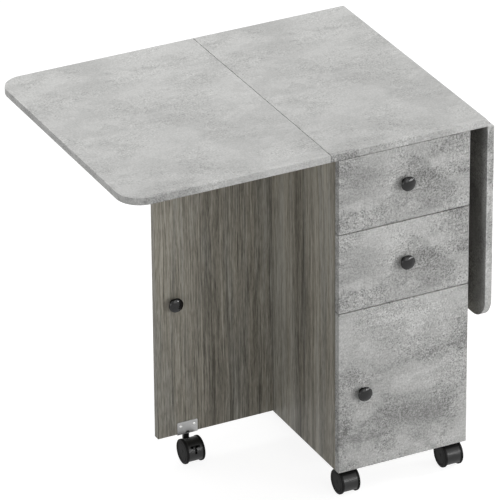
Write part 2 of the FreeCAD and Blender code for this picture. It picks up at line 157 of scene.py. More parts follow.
class Graph:
    """A shader node tree that is drawn from left to right."""

    STEP = 190
    ROW = 12
    MIX_SHARE, MIX_FIRST, MIX_SECOND, MIX_RESULT = 0, 6, 7, 2

    def __init__(self, tree: bpy.types.NodeTree) -> None:
        """Starts on an empty tree."""
        self.tree = tree
        self.count = 0
        tree.nodes.clear()

    def node(self, kind: str, **settings: object) -> bpy.types.Node:
        """Adds a node.

        Args:
            kind: the node's Blender type.
            settings: properties of the node to set.

        Returns:
            The new node.
        """
        made = self.tree.nodes.new(kind)
        made.location = (self.count % self.ROW * self.STEP, -(self.count // self.ROW) * self.STEP)
        self.count += 1
        for key, value in settings.items():
            setattr(made, key, value)
        return made

    def feed(self, target: Socket, source: object) -> None:
        """Fills an input.

        Args:
            target: the input.
            source: a socket to link to it, or a plain value to set it to.
        """
        if isinstance(source, Socket):
            self.tree.links.new(source, target)
        else:
            target.default_value = source

    def mapped(
        self,
        vector: Socket,
        scale: Triple = (1, 1, 1),
        shift: Triple = (0, 0, 0),
        turn: Triple = (0, 0, 0),
    ) -> Socket:
        """Moves the place that a pattern is read from.

        Args:
            vector: the place.
            scale: factors along the three axes.
            shift: a move along the axes, after the turn.
            turn: angles about the axes in radians.

        Returns:
            The place scaled, turned and shifted.
        """
        made = self.node("ShaderNodeMapping")
        self.feed(made.inputs["Vector"], vector)
        self.feed(made.inputs["Scale"], scale)
        self.feed(made.inputs["Rotation"], turn)
        self.feed(made.inputs["Location"], shift)
        return made.outputs[0]

    def noise(
        self,
        vector: Socket,
        scale: object,
        detail: float = 3.0,
        roughness: float = 0.55,
        distortion: float = 0.0,
    ) -> Socket:
        """Adds a noise texture.

        Args:
            vector: the place.
            scale: waves per metre.
            detail: how many finer layers there are.
            roughness: how strong the finer layers are.
            distortion: how far the place is stirred.

        Returns:
            The noise's value, about 0.5.
        """
        made = self.node("ShaderNodeTexNoise")
        self.feed(made.inputs["Vector"], vector)
        self.feed(made.inputs["Scale"], scale)
        self.feed(made.inputs["Detail"], detail)
        self.feed(made.inputs["Roughness"], roughness)
        self.feed(made.inputs["Distortion"], distortion)
        return made.outputs[0]

    def math(self, operation: str, a: object, b: object = 0.0, c: object = 0.0) -> Socket:
        """Adds one step of arithmetic.

        Args:
            operation: the Math node's operation.
            a: its first value.
            b: its second value.
            c: its third value.

        Returns:
            The result.
        """
        made = self.node("ShaderNodeMath", operation=operation)
        for socket, value in zip(made.inputs, (a, b, c)):
            self.feed(socket, value)
        return made.outputs[0]

    def layered(self, layers: Sequence[tuple[object, object]], gain: object) -> Socket:
        """Adds up layers about a middle tone.

        Args:
            layers: pairs of a value about 0.5 and its weight.
            gain: how strongly all the layers together leave the middle.

        Returns:
            The tone, 0.5 where every layer is.
        """
        total: object = 0.0
        for value, weight in layers:
            total = self.math("MULTIPLY_ADD", self.math("SUBTRACT", value, 0.5), weight, total)
        return self.math("MULTIPLY_ADD", total, gain, 0.5)

    def between(self, value: object, low: object, high: object) -> Socket:
        """Makes a smooth mask.

        Args:
            value: what the mask follows.
            low: where the mask is 0.
            high: where the mask is 1.

        Returns:
            The mask.
        """
        made = self.node("ShaderNodeMapRange", interpolation_type="SMOOTHSTEP")
        self.feed(made.inputs["Value"], value)
        self.feed(made.inputs["From Min"], low)
        self.feed(made.inputs["From Max"], high)
        return made.outputs[0]

    def remap(self, value: object, low: float, high: float) -> Socket:
        """Spreads a value from 0 to 1 between two levels.

        Args:
            value: the value.
            low: the level at 0.
            high: the level at 1.

        Returns:
            The level.
        """
        made = self.node("ShaderNodeMapRange")
        self.feed(made.inputs["Value"], value)
        self.feed(made.inputs["To Min"], low)
        self.feed(made.inputs["To Max"], high)
        return made.outputs[0]

    def ramp(self, value: object, stops: Sequence[tuple[float, Colour]]) -> Socket:
        """Makes a colour that follows a value.

        Args:
            value: the value.
            stops: pairs of a value and the colour there.

        Returns:
            The colour.
        """
        made = self.node("ShaderNodeValToRGB")
        bar = made.color_ramp.elements
        while len(bar) < len(stops):
            bar.new(0.5)
        for mark, (place, colour) in zip(bar, stops):
            mark.position = place
            mark.color = (*colour, 1)
        self.feed(made.inputs[0], value)
        return made.outputs[0]

    def mix(self, share: object, first: object, second: object, blend: str = "MIX") -> Socket:
        """Mixes two colours.

        Args:
            share: how much of the second colour there is.
            first: a colour, plain or from a socket.
            second: a colour, plain or from a socket.
            blend: the Mix node's way of blending.

        Returns:
            The mixed colour.
        """
        made = self.node("ShaderNodeMix", data_type="RGBA", blend_type=blend)
        self.feed(made.inputs[self.MIX_SHARE], share)
        for place, colour in ((self.MIX_FIRST, first), (self.MIX_SECOND, second)):
            self.feed(made.inputs[place], (*colour, 1) if isinstance(colour, tuple) else colour)
        return made.outputs[self.MIX_RESULT]

    def group(self, tree: bpy.types.NodeTree, **values: object) -> bpy.types.Node:
        """Places a node group.

        Args:
            tree: the group.
            values: what feeds its inputs, which are named with _ for a space.

        Returns:
            The group's node.
        """
        made = self.node("ShaderNodeGroup", node_tree=tree)
        for key, value in values.items():
            self.feed(made.inputs[key.replace("_", " ")], value)
        return made


class Effects:
    """The shader node groups that several finishes share, each built once."""

    SMALLER = 4.3
    BROAD_SHARE = 0.62
    SMALL_SHARE = 0.38
    DOT_LEVELS = (0.72, 0.42)
    DOT_EDGE = 0.07
    SMEAR_SIZE = 30

    def __init__(self) -> None:
        """Builds the groups."""
        self.mottle = self._build("mottle", ("Scale",), ("Value",), self._mottle)
        self.speckle = self._build("speckle", ("Scale", "Cover"), ("Mask",), self._speckle)
        self.moulding = self._build("moulding", ("Scale",), ("Tone", "Height"), self._moulding)

    @staticmethod
    def _build(
        name: str,
        floats: Sequence[str],
        outputs: Sequence[str],
        draw: Callable[[Graph, Sockets, Sockets], None],
    ) -> bpy.types.NodeTree:
        """Makes a group with a Vector input, some float inputs and float outputs.

        Args:
            name: the group's name.
            floats: names of its float inputs.
            outputs: names of its float outputs.
            draw: draws the inside from a graph, the group's inputs and its outputs.

        Returns:
            The node group.
        """
        tree = bpy.data.node_groups.new(name, "ShaderNodeTree")
        tree.interface.new_socket("Vector", in_out="INPUT", socket_type="NodeSocketVector")
        for each in floats:
            tree.interface.new_socket(each, in_out="INPUT", socket_type="NodeSocketFloat")
        for each in outputs:
            tree.interface.new_socket(each, in_out="OUTPUT", socket_type="NodeSocketFloat")
        graph = Graph(tree)
        source, sink = graph.node("NodeGroupInput"), graph.node("NodeGroupOutput")
        draw(graph, source.outputs, sink.inputs)
        return tree

    @classmethod
    def _mottle(cls, graph: Graph, ins: Sockets, outs: Sockets) -> None:
        """Draws soft clouds with smaller clouds over them.

        Args:
            graph: the group's graph.
            ins: the group's inputs.
            outs: the group's outputs.
        """
        place, scale = ins["Vector"], ins["Scale"]
        broad = graph.noise(place, scale, detail=6, roughness=0.6, distortion=0.5)
        finer = graph.math("MULTIPLY", scale, cls.SMALLER)
        small = graph.noise(place, finer, detail=5, roughness=0.62, distortion=0.8)
        broad = graph.math("MULTIPLY", broad, cls.BROAD_SHARE)
        graph.feed(outs["Value"], graph.math("ADD", broad, graph.math("MULTIPLY", small, cls.SMALL_SHARE)))

    @classmethod
    def _speckle(cls, graph: Graph, ins: Sockets, outs: Sockets) -> None:
        """Draws small uneven dots; Cover from 0 to 1 says how much of the surface they take.

        Args:
            graph: the group's graph.
            ins: the group's inputs.
            outs: the group's outputs.
        """
        dots = graph.noise(ins["Vector"], ins["Scale"], detail=2.5, roughness=0.7)
        low = graph.remap(ins["Cover"], *cls.DOT_LEVELS)
        graph.feed(outs["Mask"], graph.between(dots, low, graph.math("ADD", low, cls.DOT_EDGE)))

    @classmethod
    def _moulding(cls, graph: Graph, ins: Sockets, outs: Sockets) -> None:
        """Draws the fine grain of a moulded surface, and the uneven gloss that handling leaves.

        Args:
            graph: the group's graph.
            ins: the group's inputs.
            outs: the group's outputs.
        """
        grain = graph.noise(ins["Vector"], ins["Scale"], detail=3, roughness=0.6)
        coarse = graph.math("DIVIDE", ins["Scale"], cls.SMEAR_SIZE)
        smear = graph.noise(ins["Vector"], coarse, detail=4, roughness=0.55, distortion=0.6)
        graph.feed(outs["Tone"], smear)
        graph.feed(outs["Height"], grain)


EFFECTS = Effects()


def surface(name: str, specular: float = 0.5) -> tuple[bpy.types.Material, Graph, bpy.types.Node]:
    """Starts a material.

    Args:
        name: the material's name.
        specular: the shader's specular level.

    Returns:
        The material, its graph, and its principled shader.
    """
    made = bpy.data.materials.new(name)
    made.use_nodes = True
    graph = Graph(made.node_tree)
    shader = graph.node("ShaderNodeBsdfPrincipled")
    shader.inputs["Specular IOR Level"].default_value = specular
    out = graph.node("ShaderNodeOutputMaterial")
    graph.feed(out.inputs["Surface"], shader.outputs[0])
    return made, graph, shader


def place_on(graph: Graph) -> Socket:
    """The place on a piece, in its own frame."""
    return graph.node("ShaderNodeTexCoord").outputs["Object"]


def raise_relief(graph: Graph, shader: bpy.types.Node, height: Socket, reach: float) -> None:
    """Gives a surface a fine relief.

    Args:
        graph: the material's graph.
        shader: its principled shader.
        height: the relief, from 0 to 1.
        reach: how high the relief is, in metres.
    """
    bump = graph.node("ShaderNodeBump")
    bump.inputs["Distance"].default_value = reach
    graph.feed(bump.inputs["Height"], height)
    graph.feed(shader.inputs["Normal"], bump.outputs[0])


def print_colour(graph: Graph, tone: Socket, dark: Colour, middle: Colour, pale: Colour) -> Socket:
    """The colour of a print at a tone that is 0.5 in the middle."""
    stops = ((0.5 - PRINT_SPAN, dark), (0.5, middle), (0.5 + PRINT_SPAN, pale))
    return graph.ramp(tone, stops)


# Finishes


@dataclass(frozen=True)
class PrintAndLightPatch:
    """A paler or darker place on a board, in metres from its lowest corner, with a ragged edge: most are
    places in the print, others are painted light and painted shade.
    """

    middle: Triple
    reach: Triple
    tone: float
    roughness: float = 1.0
    ragged: float = 2.2
    fade: Pair = (1.25, 0.7)

    def mask(self, graph: Graph, spot: Socket, wobble: Socket) -> Socket:
        """Draws where the patch is.

        Args:
            graph: the material's graph.
            spot: the place on the board, from its lowest corner.
            wobble: a value about 0.5 that makes the edge ragged.

        Returns:
            1 in the stain's middle and 0 away from it.
        """
        scale = tuple(1 / side for side in self.reach)
        shift = tuple(-place / side for place, side in zip(self.middle, self.reach))
        away = graph.node("ShaderNodeVectorMath", operation="LENGTH")
        graph.feed(away.inputs[0], graph.mapped(spot, scale, shift))
        edge = graph.math("SUBTRACT", wobble, 0.5)
        ragged = graph.math("MULTIPLY_ADD", edge, 2 * self.ragged, away.outputs["Value"])
        return graph.between(ragged, *self.fade)


@dataclass(frozen=True)
class ConcreteLaminate:
    """Matt laminate printed as trowelled concrete: clouds, crisp patches, and rough places with pits."""

    name: str
    corner: Triple
    start: Triple
    turn: Triple
    contrast: float
    edge_contrast: float
    # painted light: how much paler than the faces the edges are drawn, for the light that the edges catch
    painted_edge_light: float
    # painted shade: how much darker than the upper face the underside is drawn
    painted_under_shade: float
    pitted: float
    thickness: float
    print_and_light_patches: tuple[PrintAndLightPatch, ...]
    dark: Colour = (0.17, 0.17, 0.165)
    middle: Colour = (0.43, 0.43, 0.421)
    pale: Colour = (0.69, 0.69, 0.676)
    pit: Colour = (0.08, 0.08, 0.076)
    specular: float = 0.35
    gloss: Pair = (0.48, 0.62)
    relief: float = 0.05 * MM
    face_edge: Pair = (0.5 * MM, 0.2 * MM)
    other_place: Triple = (3.1, 0.7, 1.9)
    cloud_scale: float = 5.0
    cloud_share: float = 0.2
    patch_scale: float = 13.0
    patch_stretch: Triple = (0.7, 1, 1)
    patch_share: float = 0.16
    patch_edge: Pair = (0.48, 0.52)
    patch_edge_share: float = 0.025
    rough_scale: float = 10.0
    rough_stretch: Triple = (0.8, 1, 1)
    rough_range: Pair = (0.42, 0.6)
    smear_scale: float = 75.0
    smear_stretch: Triple = (0.14, 1, 1)
    smear_share: Pair = (0.04, 0.12)
    mottle_scale: float = 100.0
    mottle_share: Pair = (0.12, 0.3)
    grain_scale: float = 260.0
    grain_share: Pair = (0.3, 0.56)
    pit_scale: float = 300.0
    pit_cover: float = 0.5

    def material(self) -> bpy.types.Material:
        """Builds the finish.

        Returns:
            The material.
        """
        made, graph, shader = surface(self.name, self.specular)
        board = graph.mapped(place_on(graph), shift=self.corner, turn=self.turn)
        spot = graph.mapped(board, shift=self.start)
        on_face, under = self._faces(graph, board)
        gain = graph.remap(on_face, self.edge_contrast, self.contrast)
        elsewhere = graph.mapped(spot, self.rough_stretch, self.other_place)
        rough = graph.noise(elsewhere, self.rough_scale, detail=8, roughness=0.68, distortion=0.2)
        rough = graph.between(rough, *self.rough_range)
        drawn = graph.mapped(spot, self.patch_stretch)
        cover = graph.noise(drawn, self.patch_scale, detail=9, roughness=0.66, distortion=0.25)
        # painted light on the edges and painted shade on the underside, then paler and darker patches: print,
        # and on some boards painted light and shade
        lift = graph.remap(on_face, self.painted_edge_light, 0.0)
        lift = graph.math("MULTIPLY_ADD", under, self.painted_under_shade - self.painted_edge_light, lift)
        for print_and_light_patch in self.print_and_light_patches:
            mask = print_and_light_patch.mask(graph, board, cover)
            lift = graph.math("MULTIPLY_ADD", mask, print_and_light_patch.tone, lift)
            if print_and_light_patch.tone < 0:
                rough = graph.math("MAXIMUM", rough, graph.math("MULTIPLY", mask, print_and_light_patch.roughness))
        grain = graph.noise(spot, self.grain_scale, detail=2, roughness=0.8)
        tone = graph.math("ADD", lift, self._tone(graph, spot, cover, rough, grain, gain))
        colour = print_colour(graph, tone, self.dark, self.middle, self.pale)
        pits = graph.group(EFFECTS.speckle, Vector=spot, Scale=self.pit_scale, Cover=self.pit_cover)
        share = graph.math("MULTIPLY", pits.outputs[0], rough)
        share = graph.math("MULTIPLY", share, graph.math("MULTIPLY", gain, self.pitted))
        graph.feed(shader.inputs["Base Color"], graph.mix(share, colour, self.pit))
        graph.feed(shader.inputs["Roughness"], graph.remap(rough, *self.gloss))
        raise_relief(graph, shader, graph.math("SUBTRACT", grain, share), self.relief)
        return made

    def _tone(
        self, graph: Graph, spot: Socket, cover: Socket, rough: Socket, grain: Socket, gain: Socket
    ) -> Socket:
        """Draws the print's tone: even where the trowel closed the surface, and uneven where it is rough.

        Args:
            graph: the material's graph.
            spot: the place on the print.
            cover: the patches' value.
            rough: a mask of the rough places.
            grain: the fine grain's value.
            gain: how strong the print is.

        Returns:
            The tone, about 0.5.
        """
        drawn = graph.mapped(spot, self.smear_stretch)
        smear = graph.noise(drawn, self.smear_scale, detail=4, roughness=0.6, distortion=0.4)
        cloud = graph.noise(spot, self.cloud_scale, detail=3, roughness=0.5, distortion=0.3)
        mottle = graph.noise(spot, self.mottle_scale, detail=4, roughness=0.72)
        layers = (
            (cloud, self.cloud_share),
            (cover, self.patch_share),
            (graph.between(cover, *self.patch_edge), self.patch_edge_share),
            (smear, graph.remap(rough, *self.smear_share)),
            (mottle, graph.remap(rough, *self.mottle_share)),
            (grain, graph.remap(rough, *self.grain_share)),
        )
        return graph.layered(layers, gain)

    def _faces(self, graph: Graph, board: Socket) -> tuple[Socket, Socket]:
        """Finds the board's faces.

        Args:
            graph: the material's graph.
            board: the place on the board, from its lowest corner.

        Returns:
            A mask of the upper face and a mask of the underside. Both are 0 on the edges between them.
        """
        split = graph.node("ShaderNodeSeparateXYZ")
        graph.feed(split.inputs[0], board)
        height = split.outputs["Z"]
        start, end = self.face_edge
        upper = graph.between(height, self.thickness - start, self.thickness - end)
        return upper, graph.between(height, start, end)


@dataclass(frozen=True)
class Strokes:
    """Noise that is drawn out along the grain: the smaller the stretch, the longer its strokes."""

    stretch: float
    scale: float
    detail: int
    roughness: float = 0.7
    distortion: float = 0.4

    def draw(self, graph: Graph, spot: Socket) -> Socket:
        """The strokes' value at a place on the print."""
        along = graph.mapped(spot, (1, 1, self.stretch))
        return graph.noise(along, self.scale, self.detail, self.roughness, self.distortion)


@dataclass(frozen=True)
class WoodLaminate:
    """Matt laminate printed as grey-brown oak: upright bent grain, broken fibres, and cooler streaks."""

    name: str
    cut_from: Triple
    band_share: float
    corner: Triple
    print_and_light_patches: tuple[PrintAndLightPatch, ...]
    dark: Colour = (0.080, 0.073, 0.058)
    middle: Colour = (0.272, 0.253, 0.210)
    pale: Colour = (0.465, 0.439, 0.376)
    cool: Colour = (0.93, 0.955, 0.995)
    specular: float = 0.35
    gloss: Pair = (0.6, 0.44)
    relief: float = 0.05 * MM
    bend: float = 0.012
    bend_scale: float = 5.0
    bend_stretch: Triple = (1, 1, 0.5)
    bands: Strokes = Strokes(0.03, 13.0, 2)
    figure: Strokes = Strokes(0.025, 42.0, 3)
    lines: Strokes = Strokes(0.013, 140.0, 4)
    fibres: Strokes = Strokes(0.02, 320.0, 2)
    flecks: Strokes = Strokes(0.1, 420.0, 2)
    cool_streaks: Strokes = Strokes(0.06, 25.2, 3)
    figure_share: float = 0.27
    line_share: float = 0.38
    fibre_share: float = 0.85
    fleck_share: float = 0.55
    cool_range: Pair = (0.42, 0.62)
    dark_range: Pair = (0.42, 0.32)
    dark_share: float = 0.25
    pore_scale: float = 320.0
    pore_stretch: Triple = (1, 1, 0.08)
    pore_cover: float = 0.25
    pore_share: float = 0.3

    def material(self) -> bpy.types.Material:
        """Builds the finish.

        Returns:
            The material.
        """
        made, graph, shader = surface(self.name, self.specular)
        place = place_on(graph)
        board = graph.mapped(place, shift=self.corner)
        spot = self._bent(graph, graph.mapped(place, shift=self.cut_from))
        figure, lines = self.figure.draw(graph, spot), self.lines.draw(graph, spot)
        layers = (
            (self.bands.draw(graph, spot), self.band_share),
            (figure, self.figure_share),
            (lines, self.line_share),
            (self.fibres.draw(graph, spot), self.fibre_share),
            (self.flecks.draw(graph, spot), self.fleck_share),
        )
        tone = graph.layered(layers, 1.0)
        # paler and darker patches: print, and on the gate and side also painted light and painted shade
        for print_and_light_patch in self.print_and_light_patches:
            tone = graph.math("MULTIPLY_ADD", print_and_light_patch.mask(graph, board, figure), print_and_light_patch.tone, tone)
        colour = print_colour(graph, tone, self.dark, self.middle, self.pale)
        cooler = graph.between(self.cool_streaks.draw(graph, spot), *self.cool_range)
        colour = graph.mix(cooler, colour, graph.mix(1.0, colour, self.cool, "MULTIPLY"))
        streaks = graph.math("MULTIPLY", graph.between(figure, *self.dark_range), self.dark_share)
        colour = graph.mix(streaks, colour, self.dark)
        drawn = graph.mapped(spot, self.pore_stretch)
        pores = graph.group(EFFECTS.speckle, Vector=drawn, Scale=self.pore_scale, Cover=self.pore_cover)
        share = graph.math("MULTIPLY", pores.outputs[0], self.pore_share)
        graph.feed(shader.inputs["Base Color"], graph.mix(share, colour, self.dark))
        graph.feed(shader.inputs["Roughness"], graph.remap(tone, *self.gloss))
        raise_relief(graph, shader, graph.math("SUBTRACT", lines, pores.outputs[0]), self.relief)
        return made

    def _bent(self, graph: Graph, spot: Socket) -> Socket:
        """Sways the print to both sides, so that the grain isn't ruled straight.

        Args:
            graph: the material's graph.
            spot: the place on the print.

        Returns:
            The swayed place.
        """
        sway = graph.noise(graph.mapped(spot, self.bend_stretch), self.bend_scale, detail=2)
        sway = graph.math("SUBTRACT", sway, 0.5)
        shift = graph.node("ShaderNodeCombineXYZ")
        for axis in ("X", "Y"):
            graph.feed(shift.inputs[axis], graph.math("MULTIPLY", sway, self.bend))
        bent = graph.node("ShaderNodeVectorMath", operation="ADD")
        graph.feed(bent.inputs[0], spot)
        graph.feed(bent.inputs[1], shift.outputs[0])
        return bent.outputs["Vector"]


@dataclass(frozen=True)
class Melamine:
    """Plain pale board with a fine orange-peel grain."""

    name: str
    colour: Colour
    shade: Colour
    specular: float = 0.4
    gloss: Pair = (0.5, 0.4)
    relief: float = 0.03 * MM
    cloud_scale: float = 9.0
    dot_scale: float = 800.0
    dot_cover: float = 0.2
    dot_share: float = 0.2
    grain_scale: float = 700.0

    def material(self) -> bpy.types.Material:
        """Builds the finish.

        Returns:
            The material.
        """
        made, graph, shader = surface(self.name, self.specular)
        spot = place_on(graph)
        tone = graph.group(EFFECTS.mottle, Vector=spot, Scale=self.cloud_scale).outputs[0]
        dots = graph.group(EFFECTS.speckle, Vector=spot, Scale=self.dot_scale, Cover=self.dot_cover)
        share = graph.math("MULTIPLY", dots.outputs[0], self.dot_share)
        colour = graph.mix(share, graph.mix(tone, self.shade, self.colour), self.shade)
        graph.feed(shader.inputs["Base Color"], colour)
        graph.feed(shader.inputs["Roughness"], graph.remap(tone, *self.gloss))
        raise_relief(graph, shader, graph.noise(spot, self.grain_scale, detail=2), self.relief)
        return made


@dataclass(frozen=True)
class MouldedPlastic:
    """Black plastic with a fine moulded grain and uneven gloss."""

    name: str
    colour: Colour
    worn: Colour
    gloss: Pair
    specular: float = 0.5
    grain_scale: float = 1600.0
    relief: float = 0.02 * MM

    def material(self) -> bpy.types.Material:
        """Builds the finish.

        Returns:
            The material.
        """
        made, graph, shader = surface(self.name, self.specular)
        grain = graph.group(EFFECTS.moulding, Vector=place_on(graph), Scale=self.grain_scale).outputs
        graph.feed(shader.inputs["Base Color"], graph.mix(grain["Tone"], self.colour, self.worn))
        graph.feed(shader.inputs["Roughness"], graph.remap(grain["Tone"], *self.gloss))
        raise_relief(graph, shader, grain["Height"], self.relief)
        return made


@dataclass(frozen=True)
class LacqueredKnob:
    """A dull black moulding whose head, past a level along the knob's axis, is lacquered."""

    name: str
    axis: Triple
    level: float
    colour: Colour = (0.003, 0.003, 0.003)
    worn: Colour = (0.006, 0.006, 0.006)
    specular: float = 0.04
    gloss: Pair = (0.5, 0.6)
    lacquer: Pair = (0.8, 0.6)
    lacquer_roughness: float = 0.17
    edge: float = 0.5 * MM
    grain_scale: float = 1600.0
    relief: float = 0.02 * MM

    def material(self) -> bpy.types.Material:
        """Builds the finish.

        Returns:
            The material.
        """
        made, graph, shader = surface(self.name, self.specular)
        shader.inputs["Coat Roughness"].default_value = self.lacquer_roughness
        spot = place_on(graph)
        along = graph.node("ShaderNodeVectorMath", operation="DOT_PRODUCT")
        graph.feed(along.inputs[0], spot)
        graph.feed(along.inputs[1], self.axis)
        head = graph.between(along.outputs["Value"], self.level, self.level + self.edge)
        grain = graph.group(EFFECTS.moulding, Vector=spot, Scale=self.grain_scale).outputs
        lacquer = graph.math("MULTIPLY", head, graph.remap(grain["Tone"], *self.lacquer))
        graph.feed(shader.inputs["Base Color"], graph.mix(grain["Tone"], self.colour, self.worn))
        graph.feed(shader.inputs["Roughness"], graph.remap(grain["Tone"], *self.gloss))
        graph.feed(shader.inputs["Coat Weight"], lacquer)
        raise_relief(graph, shader, grain["Height"], self.relief)
        return made


@dataclass(frozen=True)
class PlatedSteel:
    """Zinc-plated sheet steel with faint drawn lines."""

    name: str
    colour: Colour
    dull: Colour
    gloss: Pair = (0.28, 0.6)
    relief: float = 0.02 * MM
    line_scale: float = 900.0
    line_stretch: Triple = (0.05, 1, 1)
    bloom_scale: float = 60.0

    def material(self) -> bpy.types.Material:
        """Builds the finish.

        Returns:
            The material.
        """
        made, graph, shader = surface(self.name)
        shader.inputs["Metallic"].default_value = 1.0
        spot = place_on(graph)
        drawn = graph.mapped(spot, self.line_stretch)
        lines = graph.noise(drawn, self.line_scale, detail=3, roughness=0.6)
        bloom = graph.group(EFFECTS.mottle, Vector=spot, Scale=self.bloom_scale).outputs[0]
        graph.feed(shader.inputs["Base Color"], graph.mix(bloom, self.dull, self.colour))
        uneven = graph.math("MULTIPLY", lines, bloom)
        graph.feed(shader.inputs["Roughness"], graph.remap(uneven, *self.gloss))
        raise_relief(graph, shader, lines, self.relief)
        return made


# Modelling steps


class Bench:
    """The modelling steps that the new pieces share."""

    @staticmethod
    def clear() -> None:
        """Deselects every object."""
        bpy.ops.object.select_all(action="DESELECT")

    @classmethod
    def only(cls, piece: bpy.types.Object) -> None:
        """Selects one piece alone and makes it active.

        Args:
            piece: the piece.
        """
        cls.clear()
        piece.select_set(True)
        bpy.context.view_layer.objects.active = piece

    @staticmethod
    def keep(name: str) -> bpy.types.Object:
        """Names the object just added and puts its place into its mesh.

        Args:
            name: the object's name.

        Returns:
            The object.
        """
        made = bpy.context.object
        made.name = name
        made.data.name = name
        bpy.ops.object.transform_apply(location=True, rotation=True, scale=True)
        return made

    @classmethod
    def disc(cls, name: str, radius: float, height: float, sides: int) -> bpy.types.Object:
        """Adds an upright disc that stands on the origin.

        Args:
            name: the disc's name.
            radius: its radius.
            height: its height.
            sides: how many sides its outline has.

        Returns:
            The disc.
        """
        cls.clear()
        middle = (0, 0, height / 2)
        bpy.ops.mesh.primitive_cylinder_add(vertices=sides, radius=radius, depth=height, location=middle)
        return cls.keep(name)

    @classmethod
    def block(cls, name: str, size: Triple, middle: Triple) -> bpy.types.Object:
        """Adds a block.

        Args:
            name: the block's name.
            size: its edge lengths.
            middle: its centre.

        Returns:
            The block.
        """
        cls.clear()
        bpy.ops.mesh.primitive_cube_add(size=1, location=middle)
        bpy.context.object.scale = size
        return cls.keep(name)

    @classmethod
    @contextmanager
    def editing(cls, piece: bpy.types.Object, mode: str) -> Iterator[None]:
        """Opens one piece in edit mode.

        Args:
            piece: the piece.
            mode: what is selected: VERT, EDGE or FACE.

        Returns:
            A context that ends in object mode.
        """
        cls.only(piece)
        bpy.ops.object.mode_set(mode="EDIT")
        bpy.ops.mesh.select_mode(type=mode)
        yield
        bpy.ops.object.mode_set(mode="OBJECT")

    @staticmethod
    def pick(piece: bpy.types.Object, test: Callable[[Vector], bool], edges: bool = False) -> None:
        """Selects faces or edges in edit mode.

        Args:
            piece: the piece.
            test: says of a corner's place whether it belongs to the selection, which needs every corner.
            edges: selects edges and not faces.
        """
        bpy.ops.mesh.select_all(action="DESELECT")
        work = bmesh.from_edit_mesh(piece.data)
        for element in work.edges if edges else work.faces:
            element.select_set(all(test(v.co) for v in element.verts))
        work.select_flush_mode()
        bmesh.update_edit_mesh(piece.data)

    @classmethod
    def smooth(cls, piece: bpy.types.Object, degrees: float = 35.0) -> None:
        """Shades a piece smooth, with edges sharper than an angle kept."""
        cls.only(piece)
        bpy.ops.object.shade_smooth_by_angle(angle=math.radians(degrees))

    @classmethod
    def subtract(cls, piece: bpy.types.Object, cutter: bpy.types.Object) -> None:
        """Cuts one piece out of another.

        Args:
            piece: the piece that is cut.
            cutter: the piece that is cut out of it, and removed.
        """
        cls.only(piece)
        cut = piece.modifiers.new("cut", "BOOLEAN")
        cut.operation = "DIFFERENCE"
        cut.solver = "EXACT"
        cut.object = cutter
        bpy.ops.object.modifier_apply(modifier=cut.name)
        bpy.data.objects.remove(cutter)

    @classmethod
    def join(cls, name: str, parts: Sequence[bpy.types.Object]) -> bpy.types.Object:
        """Joins parts into one object.

        Args:
            name: the object's name.
            parts: the parts.

        Returns:
            The object.
        """
        cls.clear()
        for part in parts:
            part.select_set(True)
        bpy.context.view_layer.objects.active = parts[0]
        bpy.ops.object.join()
        parts[0].name = name
        parts[0].data.name = name
        return parts[0]


def at_top(height: float) -> Callable[[Vector], bool]:
    """A test for the corners at the top of a piece of some height."""
    return lambda place: place.z > height * TOP_SHARE


def facing(point: Vector, normal: Vector) -> Matrix:
    """The place of a piece that stands on a point with its +Z along a normal."""
    return Matrix.Translation(point) @ normal.to_track_quat("Z", "Y").to_matrix().to_4x4()


def stamped(pattern: bpy.types.Object, name: str, places: Sequence[Matrix]) -> bpy.types.Object:
    """Copies a pattern to several places and joins the copies.

    Args:
        pattern: the piece to copy, which stands on the origin.
        name: the name of the joined piece.
        places: where each copy goes.

    Returns:
        The joined piece.
    """
    copies = []
    for place in places:
        copy = pattern.copy()
        copy.data = pattern.data.copy()
        copy.data.transform(place)
        bpy.context.scene.collection.objects.link(copy)
        copies.append(copy)
    return Bench.join(name, copies)


def fitted(piece: bpy.types.Object, body: str, slot: Slot, finish: bpy.types.Material) -> None:
    """Dresses a new piece and makes it ride on a body.

    Args:
        piece: the piece.
        body: the body's name.
        slot: the finish that the record names for it, which is not used.
        finish: the piece's material.
    """
    piece.data.materials.clear()
    piece.data.materials.append(finish)
    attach(piece, body)
    LOG.info("%s rides on %s with %d faces", piece.name, body, len(piece.data.polygons))


# The table's pieces


@dataclass(frozen=True)
class Cut:
    """Where on the concrete print a board's lowest corner lies, how strong the print is on it, and how much
    light and shade are painted on its edges and underside.
    """

    node: str
    start: Triple
    contrast: float = 2.1
    edge_contrast: float = 2.1
    # painted light on the edges
    painted_edge_light: float = 0.0
    # painted shade on the underside
    painted_under_shade: float = 0.0
    pitted: float = 0.45
    turn: Triple = (0, 0, 0)
    print_and_light_patches: tuple[PrintAndLightPatch, ...] = ()

    def finish(self) -> ConcreteLaminate:
        """Works out the board's finish.

        Returns:
            The finish, which knows the board's lowest corner and thickness.
        """
        box = node_box(self.node)
        corner = Euler(self.turn).to_matrix() @ box.low
        return ConcreteLaminate(
            name="concrete_" + self.node,
            corner=tuple(-corner),
            start=self.start,
            turn=self.turn,
            contrast=self.contrast,
            edge_contrast=self.edge_contrast,
            painted_edge_light=self.painted_edge_light,
            painted_under_shade=self.painted_under_shade,
            pitted=self.pitted,
            thickness=min(box.size),
            print_and_light_patches=self.print_and_light_patches,
        )


